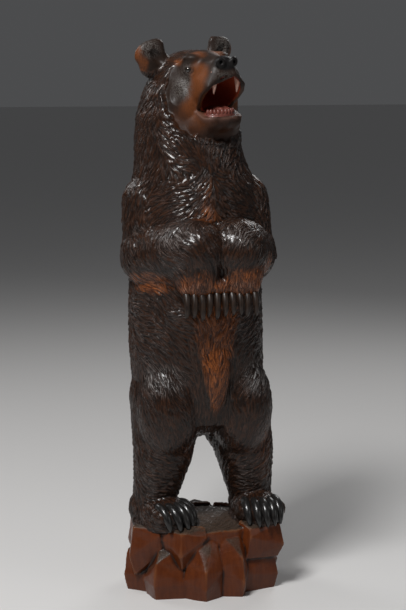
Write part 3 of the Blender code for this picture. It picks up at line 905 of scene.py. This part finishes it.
# At the left, the arris and the right of a rock
ROCK_BELLY = (0.28, 0.62, 0.42)  # how far down it stands out furthest
ROCK_BULGE = (0.88, 1.05, 0.88)
ROCK_INSET = (2.0, 0, -2.0)  # degrees
ROCK_FOOT, ROCK_WAIST, ROCK_BROW, ROCK_HEART = 0.95, 1.02, 0.97, 0.5  # how far out they stand
HOLLOW_SPREAD = 5
BACK_ROCKS = 6
BACK_FROM, BACK_TO = 80, 256
BACK_ROWS = ((0.0, 0.56, 6, BACK_FROM), (0.48, 0.90, 5, BACK_FROM + 12))  # foot, brow, rocks, start
BELOW_FLOOR = -0.1  # where rocks begin that the saw cuts through


def back_rocks():
    """The plinth's back is cut in the same way, in two rows."""
    chance = random.Random(7)
    for foot, brow, count, start in BACK_ROWS:
        pitch = (BACK_TO - BACK_FROM) / BACK_ROCKS
        left = start
        for _ in range(count):
            width = pitch * chance.uniform(0.8, 1.25)
            rises = [chance.uniform(-0.1, 0.08) for _ in range(3)]
            yield Rock(
                left - 2,
                left + width * chance.uniform(0.3, 0.7),
                left + width,
                (foot, foot - 0.15 if foot else 0, foot),
                [brow + rise for rise in rises],
                min(1.0, brow + 0.2),
                chance.uniform(0.93, 1.02),
                0.72,
            )
            left += width


def on_plinth(angle, share, height):
    """A point at this angle from the front, towards the bear's left; share is 1 at the plinth's edge."""
    angle = math.radians(angle)
    return (
        share * PLINTH_WIDTH / 2 * math.sin(angle),
        -share * PLINTH_DEPTH / 2 * math.cos(angle),
        height * PLINTH_HEIGHT,
    )


def rocks(cut):
    """Faceted blocks round the plinth's core."""
    cut.place = Matrix()
    core_heights = (BELOW_FLOOR, 0.5)
    cut.hull([on_plinth(a, CORE_SHARE, height) for a in range(0, 360, 30) for height in core_heights])
    for k, rock in enumerate((*FRONT_ROCKS, *back_rocks())):
        angles = (rock.left, rock.arris, rock.right)
        belly = ROCK_BELLY if k % 2 else ROCK_BELLY[::-1]
        foot = [height if height else BELOW_FLOOR for height in rock.foot]
        out = [rock.reach * bulge for bulge in ROCK_BULGE]
        corners = [on_plinth(a, o * ROCK_FOOT, h) for a, o, h in zip(angles, out, foot)]
        corners += [
            on_plinth(a, o * ROCK_WAIST, down * max(f, 0) + (1 - down) * h)
            for a, o, f, h, down in zip(angles, out, foot, rock.brow, belly)
        ]
        corners += [
            on_plinth(a + i, o * ROCK_BROW, h) for a, i, o, h in zip(angles, ROCK_INSET, out, rock.brow)
        ]
        corners += [on_plinth(a + 1.5 * i, rock.back, rock.crest) for a, i in zip(angles, ROCK_INSET)]
        corners += [on_plinth(a, ROCK_HEART, h) for a, h in zip(angles, foot)]
        cut.hull(corners)


GOUGE = Cut(24.0, 6.5, 2.4)
GOUGE_SINK = 1.2
ROCK_WAVE = 0.7


def carved_ground(mesh):
    """Short strokes of the gouge across the ground, and rock faces that are never quite flat."""
    points, normals = skin_of(mesh)
    share = np.hypot(points[:, 0] * UNIT / (PLINTH_WIDTH / 2), points[:, 1] * UNIT / (PLINTH_DEPTH / 2))
    top = smooth_step(0.45, 0.8, normals[:, 2]) * (1 - smooth_step(0.74, 0.86, share))
    bend = 0.7 * waves(points, 50, 21)[:, None]
    ways = np.cos(bend) * (1, 0, 0) + np.sin(bend) * (0, 1, 0)
    ways -= normals * np.sum(ways * normals, axis=1)[:, None]
    ways /= np.maximum(np.linalg.norm(ways, axis=1), 1e-6)[:, None]
    strokes = locks_on(points, normals, ways, np.tile(GOUGE, (len(points), 1))).lift
    flats = waves(points, 34, 22) * (1 - top)
    placed(mesh, points + normals * ((strokes - GOUGE_SINK) * top + ROCK_WAVE * flats)[:, None])


def hollowness(mesh):
    """How far the skin bends inwards at each point, spread a little; below 0 on an arris."""
    points, normals = skin_of(mesh)
    ends = np.empty(len(mesh.edges) * 2, int)
    mesh.edges.foreach_get("vertices", ends)
    first, last = ends[::2], ends[1::2]
    here, there = np.concatenate((first, last)), np.concatenate((last, first))
    count = np.maximum(np.bincount(here, minlength=len(points)), 1)

    def spread(values):
        """Each point's mean over its neighbours."""
        return np.bincount(here, values[there], len(points)) / count

    middle = np.stack([spread(points[:, axis]) for axis in range(3)], axis=1)
    bend = np.sum((middle - points) * normals, axis=1)
    for _ in range(HOLLOW_SPREAD):
        bend = spread(bend)
    return bend


SHARP_ARRIS = 32  # degrees


def plinth():
    """Rocks and ground, sawn off flat at the floor."""
    cut = Clay()
    ground(cut)
    rocks(cut)
    block = fused(shaped("rocky_plinth", cut.mesh), ROCK_CELL, 4)
    carved_ground(block.data)
    hollow, tree = hollowness(block.data), point_tree(skin_of(block.data)[0])
    saw = bmesh.new()
    saw.from_mesh(block.data)
    sides = saw.verts[:] + saw.edges[:] + saw.faces[:]
    bmesh.ops.bisect_plane(saw, geom=sides, plane_co=(0, 0, 0), plane_no=(0, 0, -1), clear_outer=True)
    rim = [edge for edge in saw.edges if edge.is_boundary]
    bmesh.ops.contextual_create(saw, geom=rim)
    saw.to_mesh(block.data)
    saw.free()
    block = thinned(block, ROCK_TRIANGLES)
    nearest = [tree.find(point)[1] for point in skin_of(block.data)[0]]
    # how far the skin bends inwards, for the painted shade in crevices and the wear on arrises
    written(block.data, "hollow", hollow[nearest])
    block.data.shade_smooth()
    block.data.set_sharp_from_angle(angle=math.radians(SHARP_ARRIS))
    return block


# Claws, teeth and eyes

HORN_RINGS = 12
HORN_SIDES = 14
HORN_TIP, HORN_TIP_RADIUS = 0.6, 0.3
FANG_PLACE = 22
UPPER_TEETH, UPPER_TEETH_PITCH, UPPER_ARCH = 6, 6.2, 0.02
LOWER_TEETH, LOWER_TEETH_TURN = 11, 75
JAW_HALF_WIDTH, JAW_BACK, JAW_REACH = 24, -86, 21
EYE_SIDES, EYE_RINGS = 36, 20


def horn(clay, path, radii, flat=1.0):
    """A claw or a tooth: a tapered roll along a smooth line through the path, down to a blunt point."""
    knots = np.arange(len(path))
    bend = np.polyfit(knots, np.array(path), len(path) - 1)
    swell = np.polyfit(knots, np.array(radii), len(radii) - 1)
    steps = np.linspace(0, len(path) - 1, HORN_RINGS)
    centres = [Vector([np.polyval(bend[:, axis], step) for axis in range(3)]) for step in steps]
    rings = []
    for k, (centre, step) in enumerate(zip(centres, steps)):
        way = centres[min(k + 1, HORN_RINGS - 1)] - centres[max(k - 1, 0)]
        turn = way.to_track_quat("Z", "Y").to_matrix().to_4x4()
        radius = float(np.polyval(swell, step))
        rings.append(Matrix.Translation(centre) @ turn @ Matrix.Diagonal((radius * flat, radius, 1, 1)))
    tip = centres[-1] + (centres[-1] - centres[-2]).normalized() * HORN_TIP
    blunt = Matrix.Diagonal((HORN_TIP_RADIUS, HORN_TIP_RADIUS, 1, 1))
    rings.append(Matrix.Translation(tip) @ turn @ blunt)
    clay.loft(rings, HORN_SIDES)


def smooth_piece(name, clay):
    """The clay as a piece of its own."""
    piece = shaped(name, clay.mesh)
    piece.data.shade_smooth()
    return piece


def paw_claws(side):
    """The claws that hang from a paw, none quite like the next."""
    cut = Clay()
    chance = random.Random(4 + side)
    for k in range(CLAWS):
        x, lean, drop = paw_toe(side, k), chance.uniform(-2, 2), chance.uniform(-4, 3)
        path = [
            (x, -96, 396),
            (x, -110, 380),
            (x + lean / 2, -115, 361 + drop),
            (x + lean, -109, 347 + drop),
        ]
        horn(cut, path, (5.2, 5.8, 4.6, 1.0), flat=0.98)
    return smooth_piece("right_paw_claws" if side < 0 else "left_paw_claws", cut)


def foot_claws(side):
    """The claws of a foot, over the front of its toes."""
    cut = Clay(FIGURE @ FOOT_PLACE[side])
    for k in range(CLAWS):
        x, y, z = toe(k)
        path = [
            (x * 0.78, y + 14, z + 16),
            (x * 0.86, y - 2, z + 13),
            (x * 0.88, y - 16, z),
            (x * 0.86, y - 24, z - 20),
        ]
        horn(cut, path, (5.0, 7.4, 7.0, 1.8))
    return smooth_piece("right_foot_claws" if side < 0 else "left_foot_claws", cut)


def fangs():
    """The two long teeth of the upper jaw."""
    cut = Clay(FIGURE @ HEAD)
    for side in SIDES:
        x = FANG_PLACE * side
        horn(cut, [(x, -108, 14), (x, -112, -1), (x, -109, -19)], (4.6, 4.2, 1.0))
    return smooth_piece("fangs", cut)


def small_teeth():
    """The front teeth between the fangs, and the row round the lower jaw."""
    cut = Clay(FIGURE @ HEAD)
    for k in range(UPPER_TEETH):
        x = UPPER_TEETH_PITCH * (k - (UPPER_TEETH - 1) / 2)
        back = UPPER_ARCH * x * x
        horn(cut, [(x, -107 + back, 18), (x, -108.5 + back, 9), (x, -108 + back, 3)], (3.2, 3.1, 1.6))
    for k in range(LOWER_TEETH):
        x, y = jaw_arch(LOWER_TEETH_TURN * (k / (LOWER_TEETH - 1) * 2 - 1))
        horn(cut, [(x, y, -54), (x, y - 1, -49), (x, y, -45)], (3.1, 3.3, 2.0))
    return smooth_piece("small_teeth", cut)


def jaw_arch(turn):
    """A place over the lower jaw, this far round from its front."""
    turn = math.radians(turn)
    return JAW_HALF_WIDTH * math.sin(turn), JAW_BACK - JAW_REACH * math.cos(turn)


# Its middle and the rolls beside its furrow
TONGUE_LUMPS = (
    ((0, -80, -47), (15, 30, 6)),
    ((-6, -84, -45), (8, 26, 5)),
    ((6, -84, -45), (8, 26, 5)),
)
GUM_CELL = 1.2 * UNIT


def tongue_and_gums():
    """The tongue low in the jaw, and the gum that the lower teeth stand in."""
    cut = Clay(FIGURE @ HEAD)
    arch = [(*jaw_arch(turn), -54) for turn in range(-90, 91, 15)]
    cut.roll(arch, [4.2] * len(arch))
    cut.roll([(x * 1.12, y - 1.5, -58) for x, y, _ in arch], [3.4] * len(arch))
    cut.balls(TONGUE_LUMPS)
    piece = fused(shaped("tongue_and_gums", cut.mesh), GUM_CELL, 3)
    piece.data.shade_smooth()
    return piece


def eye(side):
    """A glass bead in its socket."""
    low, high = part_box("glass_eye_right" if side < 0 else "glass_eye_left")
    bead = bmesh.new()
    bmesh.ops.create_uvsphere(
        bead,
        u_segments=EYE_SIDES,
        v_segments=EYE_RINGS,
        radius=(high - low).z / 2,
        matrix=Matrix.Translation((low + high) / 2),
    )
    piece = shaped("right_eye" if side < 0 else "left_eye", bead)
    piece.data.shade_smooth()
    return piece


# Finishes

MILLIMETRES = 1000  # in a metre
FUR_RELIEF, ROCK_RELIEF, HORN_RELIEF = 0.0015, 0.0012, 0.0003

# The stain on the fur: at the bottom of the hair's lines and on top, where it is thick and where it is
# rubbed through; then a pale grey painted sheen on the hair's ridges and painted shade in the grooves
# between strands
THICK_STAIN = (0.007, 0.003, 0.0016), (0.036, 0.014, 0.0065)
RUBBED_STAIN = (0.050, 0.012, 0.003), (0.22, 0.066, 0.017)
PAINTED_SHEEN_GREY = (0.24, 0.235, 0.23)
GROOVE_PAINTED_SHADE = (0.003, 0.0016, 0.0012)
# The same on the bare face, whose stipple takes the place of hair
FACE_THICK_STAIN = (0.009, 0.005, 0.0035), (0.022, 0.012, 0.008)
FACE_RUBBED_STAIN = (0.075, 0.020, 0.005), (0.15, 0.046, 0.012)
FACE_GREY = (0.10, 0.092, 0.085)
MOUTH_RED = (0.30, 0.045, 0.018)
UPPER_LIP_DARK, LOWER_LIP_BROWN = (0.016, 0.007, 0.004), (0.11, 0.055, 0.040)
NOSE_BLACK = (0.006, 0.005, 0.005)
JAW_SHADE = (0.006, 0.003, 0.002)
ROCK_STAIN = (0.068, 0.0135, 0.0022), (0.100, 0.0225, 0.0038)
# The ground's own grey-brown, laid on every upward face: real on the ground, a painted sheen on the
# rocks' tops
GREY_GROUND_AND_TOP_SHEEN = (0.014, 0.009, 0.006), (0.070, 0.047, 0.034)
# Painted shade in the rocks' crevices, and the stain worn through on their arrises
CREVICE_PAINTED_SHADE, ARRIS_ORANGE = (0.006, 0.002, 0.001), (0.20, 0.075, 0.028)
PAW_HORN = (0.007, 0.004, 0.003), (0.026, 0.014, 0.008)
FOOT_HORN = (0.006, 0.006, 0.006), (0.016, 0.014, 0.013)
FANG_PINK = (0.34, 0.17, 0.12), (0.50, 0.30, 0.24)
GUM_BROWN = (0.085, 0.018, 0.012), (0.14, 0.040, 0.028)
GLASS_DARK = (0.004, 0.003, 0.002), (0.014, 0.009, 0.006)


class Wire:
    """A number on its way through a finish's nodes."""

    def __init__(self, finish, socket):
        self.finish = finish
        self.socket = socket

    def _worked(self, operation, first, second):
        return self.finish.node("ShaderNodeMath", {"operation": operation}, {0: first, 1: second})

    def __add__(self, other):
        return self._worked("ADD", self, other)

    def __sub__(self, other):
        return self._worked("SUBTRACT", self, other)

    def __rsub__(self, other):
        return self._worked("SUBTRACT", other, self)

    def __mul__(self, other):
        return self._worked("MULTIPLY", self, other)

    __radd__ = __add__
    __rmul__ = __mul__


class Finish:
    """One material, made of nodes round its shader."""

    def __init__(self, name):
        self.material = bpy.data.materials.new(name)
        self.material.use_nodes = True
        self.tree = self.material.node_tree
        self.shader = self.tree.nodes["Principled BSDF"]

    def node(self, kind, settings=None, values=None, out=0):
        """A node with these settings, and these values or wires in its sockets."""
        made = self.tree.nodes.new(kind)
        for name, value in (settings or {}).items():
            setattr(made, name, value)
        self.fill(made, values or {})
        return Wire(self, made.outputs[out])

    def fill(self, made, values):
        """Puts values or wires in a node's sockets."""
        for key, value in values.items():
            if isinstance(value, Wire):
                self.tree.links.new(value.socket, made.inputs[key])
            else:
                made.inputs[key].default_value = value

    def mark(self, name):
        """A number that the mesh carries at each point."""
        return self.node("ShaderNodeAttribute", {"attribute_name": name}, out="Fac")

    def places(self):
        """Where a point is on the object, in millimetres."""
        return self.stretched(self.node("ShaderNodeTexCoord", out="Object"), (MILLIMETRES,) * 3)

    def strands(self):
        """Across and along the strand of fur that a point is on, in millimetres."""
        return self.node("ShaderNodeUVMap", {"uv_map": "strands"})

    def stretched(self, vector, scales):
        """The vector with each of its numbers scaled."""
        return self.node("ShaderNodeVectorMath", {"operation": "MULTIPLY"}, {0: vector, 1: scales})

    def noise(self, vector, scales, detail=2.0, roughness=0.5, distortion=0.0):
        """Hills from 0 to 1; scales are how many there are to a millimetre each way."""
        values = {"Scale": 1.0, "Detail": detail, "Roughness": roughness, "Distortion": distortion}
        return self.node("ShaderNodeTexNoise", None, {"Vector": self.stretched(vector, scales), **values})

    def step(self, value, low, high):
        """0 under low, 1 over high and smooth between."""
        return self.node(
            "ShaderNodeMapRange",
            {"interpolation_type": "SMOOTHSTEP"},
            {"Value": value, "From Min": low, "From Max": high},
        )

    def mixed(self, share, first, second):
        """From one colour to the other."""
        colours = [(*colour, 1.0) if isinstance(colour, tuple) else colour for colour in (first, second)]
        return self.node(
            "ShaderNodeMix", {"data_type": "RGBA"}, {0: share, 6: colours[0], 7: colours[1]}, out=2
        )

    def bumped(self, height, deep, strength):
        """Relief this deep, in metres."""
        values = {"Height": height, "Distance": deep, "Strength": strength}
        return self.node("ShaderNodeBump", None, values)

    def worn_by(self, *pieces):
        """Gives the material to pieces."""
        for piece in pieces:
            piece.data.materials.clear()
            piece.data.materials.append(self.material)


def fur_finish():
    """Hair in lines along the strands under a dark stain; the bare face, the mouth and the nose."""
    finish = Finish("dark_stained_fur")
    strands, places = finish.strands(), finish.places()
    fur, groove = finish.mark("fur"), finish.mark("groove")
    hair = finish.noise(strands, (0.40, 0.024, 1.0), detail=3.0)
    ridge = finish.step(hair, 0.36, 0.62)
    stipple = finish.noise(places, (0.55, 0.55, 0.55))
    blotch = finish.noise(places, (0.03, 0.03, 0.02))
    rubbed = finish.step(finish.mark("worn") * (0.35 + blotch * 0.5 + hair * 0.8), 0.12, 0.85)
    coat = finish.mixed(
        rubbed, finish.mixed(ridge, *THICK_STAIN), finish.mixed(ridge, *RUBBED_STAIN)
    )
    # painted sheen: pale grey on the hair's ridges where the lamp's reflection falls
    coat = finish.mixed(finish.mark("painted_sheen") * finish.step(hair, 0.46, 0.66), coat, PAINTED_SHEEN_GREY)
    # painted shade: near black in the grooves between strands
    coat = finish.mixed(finish.step(groove, 0.15, 0.75) * 0.85, coat, GROOVE_PAINTED_SHADE)
    face = finish.mixed(
        rubbed, finish.mixed(stipple, *FACE_THICK_STAIN), finish.mixed(stipple, *FACE_RUBBED_STAIN)
    )
    face = finish.mixed(finish.mark("grey") * finish.step(stipple, 0.44, 0.56) * 0.8, face, FACE_GREY)
    hairy = finish.step(fur, 0.05, 0.4)
    colour = finish.mixed(hairy, face, coat)
    colour = finish.mixed(finish.mark("mouth"), colour, MOUTH_RED)
    colour = finish.mixed(finish.mark("upper_lip") * 0.9, colour, UPPER_LIP_DARK)
    colour = finish.mixed(finish.mark("lower_lip") * 0.85, colour, LOWER_LIP_BROWN)
    colour = finish.mixed(finish.mark("nose"), colour, NOSE_BLACK)
    relief = ridge * hairy + stipple * 0.3 * (1.0 - hairy)
    finish.fill(
        finish.shader,
        {
            "Base Color": finish.mixed(finish.mark("shade") * 0.6, colour, JAW_SHADE),
            "Roughness": 0.50 - ridge * hairy * 0.18,
            "Specular IOR Level": 0.16,
            "Coat Weight": hairy * 0.28 + 0.03,
            "Coat Roughness": 0.18,
            "Normal": finish.bumped(relief, FUR_RELIEF, 0.9),
        },
    )
    return finish


def rock_finish():
    """Red stain on the rocks, with painted shade in their crevices and worn on their arrises; grey
    ground, whose grey is also laid on the rocks' upward faces as a painted sheen.
    """
    finish = Finish("red_stained_rock")
    places = finish.places()
    grain = finish.noise(places, (0.22, 0.22, 0.012), detail=4.0, roughness=0.6, distortion=0.4)
    chisel = finish.noise(places, (0.10, 0.10, 0.16), detail=1.0)
    fine = finish.noise(places, (0.8, 0.8, 0.05), detail=3.0)
    grit = finish.noise(places, (0.7, 0.7, 0.7), detail=3.0)
    stain = finish.mixed(finish.step(grain, 0.25, 0.8), *ROCK_STAIN)
    grey = finish.mixed(finish.step(grit, 0.3, 0.7), *GREY_GROUND_AND_TOP_SHEEN)
    facing = finish.node("ShaderNodeNewGeometry", out="Normal")
    upward = finish.node("ShaderNodeSeparateXYZ", None, {0: facing}, out=2)
    top = finish.step(upward + (grit - 0.5) * 0.2, 0.35, 0.7)
    hollow = finish.mark("hollow")
    # upward faces turn grey: the ground's own colour, and a painted sheen on the rocks' tops
    colour = finish.mixed(top, stain, grey)
    # painted shade: near black where the skin bends inwards
    colour = finish.mixed(finish.step(hollow, 0.015, 0.09) * 0.9, colour, CREVICE_PAINTED_SHADE)
    colour = finish.mixed(finish.step(hollow * -1.0, 0.03, 0.10) * 0.35, colour, ARRIS_ORANGE)
    relief = chisel * 0.8 + fine * 0.12 + grit * top * 0.5
    finish.fill(
        finish.shader,
        {
            "Base Color": colour,
            "Roughness": 0.30 + grit * 0.2,
            "Specular IOR Level": 0.2,
            "Coat Weight": 0.18,
            "Coat Roughness": 0.15,
            "Normal": finish.bumped(relief, ROCK_RELIEF, 0.7),
        },
    )
    return finish


def horn_finish(name, dark, light, roughness, coat):
    """Wood cut smooth for a claw or a tooth, with faint streaks down its length."""
    finish = Finish(name)
    places = finish.places()
    streak = finish.noise(places, (0.5, 0.5, 0.08), detail=3.0)
    finish.fill(
        finish.shader,
        {
            "Base Color": finish.mixed(finish.step(streak, 0.3, 0.7), dark, light),
            "Roughness": roughness + streak * 0.1,
            "Specular IOR Level": 0.3,
            "Coat Weight": coat,
            "Coat Roughness": 0.1,
            "Normal": finish.bumped(streak, HORN_RELIEF, 0.5),
        },
    )
    return finish


def glass_finish():
    """Almost black, polished glass."""
    finish = Finish("dark_glass_bead")
    cloud = finish.noise(finish.places(), (0.3, 0.3, 0.3))
    finish.fill(
        finish.shader,
        {
            "Base Color": finish.mixed(cloud, *GLASS_DARK),
            "Roughness": 0.04,
            "Coat Weight": 1.0,
            "Coat Roughness": 0.02,
        },
    )
    return finish


# Camera, light and floor

CAMERA_AZIMUTH, CAMERA_DISTANCE, CAMERA_HEIGHT = math.radians(-15.0), 2.70, 0.86
CAMERA_AIM = Vector((0.002, 0, 0.467))
CAMERA_LENS, CAMERA_SENSOR = 98.3, 36
Lamp = namedtuple("Lamp", "name azimuth elevation distance size power")
LAMPS = (
    Lamp("key", -42, 52, 2.4, 0.6, 68),
    Lamp("fill", 45, 20, 2.8, 1.2, 5),
    Lamp("back_right", -140, 35, 2.6, 0.9, 14),
    Lamp("back_left", 140, 35, 2.6, 0.9, 14),
)
LAMP_AIM = Vector((0, 0, 0.45))
BACKDROP, BACKDROP_STRENGTH = (0.62, 0.63, 0.65, 1), 0.115
FLOOR_PAINT, FLOOR_ROUGHNESS, FLOOR_HALF_WIDTH = (0.64, 0.63, 0.62, 1), 0.35, 30


def camera():
    """Where the photograph was taken from, a little above the bear's middle and to its right."""
    made = bpy.data.objects.new("camera", bpy.data.cameras.new("camera"))
    made.location = (
        math.sin(CAMERA_AZIMUTH) * CAMERA_DISTANCE,
        -math.cos(CAMERA_AZIMUTH) * CAMERA_DISTANCE,
        CAMERA_HEIGHT,
    )
    made.rotation_euler = (made.location - CAMERA_AIM).to_track_quat("Z", "Y").to_euler()
    made.data.lens = CAMERA_LENS
    made.data.sensor_width = CAMERA_SENSOR
    bpy.context.scene.collection.objects.link(made)
    bpy.context.scene.camera = made


def softbox(lamp):
    """A square lamp that faces the bear's middle."""
    made = bpy.data.objects.new(lamp.name, bpy.data.lights.new(lamp.name, "AREA"))
    made.data.shape = "SQUARE"
    made.data.size = lamp.size
    made.data.energy = lamp.power
    a, e = math.radians(lamp.azimuth), math.radians(lamp.elevation)
    way = Vector((math.sin(a) * math.cos(e), -math.cos(a) * math.cos(e), math.sin(e)))
    made.location = LAMP_AIM + lamp.distance * way
    made.rotation_euler = (made.location - LAMP_AIM).to_track_quat("Z", "Y").to_euler()
    bpy.context.scene.collection.objects.link(made)


def studio():
    """Soft lamps, a plain grey backdrop and a pale floor."""
    for lamp in LAMPS:
        softbox(lamp)
    world = bpy.data.worlds.new("studio")
    world.use_nodes = True
    backdrop = world.node_tree.nodes["Background"]
    backdrop.inputs["Color"].default_value = BACKDROP
    backdrop.inputs["Strength"].default_value = BACKDROP_STRENGTH
    bpy.context.scene.world = world
    bpy.context.scene.view_settings.view_transform = "Standard"
    plane = bmesh.new()
    bmesh.ops.create_grid(plane, x_segments=1, y_segments=1, size=FLOOR_HALF_WIDTH)
    floor = shaped("floor", plane)
    paint = Finish("pale_floor")
    paint.fill(paint.shader, {"Base Color": FLOOR_PAINT, "Roughness": FLOOR_ROUGHNESS})
    paint.worn_by(floor)


def main():
    """Every piece with its finish and the nodes that it takes the place of."""
    figure, block = bear(), plinth()
    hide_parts("carved_bear")
    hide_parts("carved_bear")
    fur_finish().worn_by(figure)
    rock_finish().worn_by(block)
    claws = [paw_claws(side) for side in SIDES]
    horn_finish("brown_claw", *PAW_HORN, roughness=0.36, coat=0.05).worn_by(*claws)
    toes = [foot_claws(side) for side in SIDES]
    horn_finish("black_claw", *FOOT_HORN, roughness=0.24, coat=0.3).worn_by(*toes)
    bite = [fangs()]
    horn_finish("pale_fang", *FANG_PINK, roughness=0.35, coat=0.2).worn_by(*bite)
    gums = [small_teeth(), tongue_and_gums()]
    horn_finish("dull_tooth", *GUM_BROWN, roughness=0.45, coat=0.08).worn_by(*gums)
    eyes = [eye(side) for side in SIDES]
    glass_finish().worn_by(*eyes)
    for side, bead in zip(SIDES, eyes):
        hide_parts("glass_eye_right" if side < 0 else "glass_eye_left")
    wood = [figure, block, *claws, *toes, *bite, *gums]
    for piece in wood + eyes:
        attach(piece, "root")


main()
camera()
studio()
bpy.context.view_layer.update()
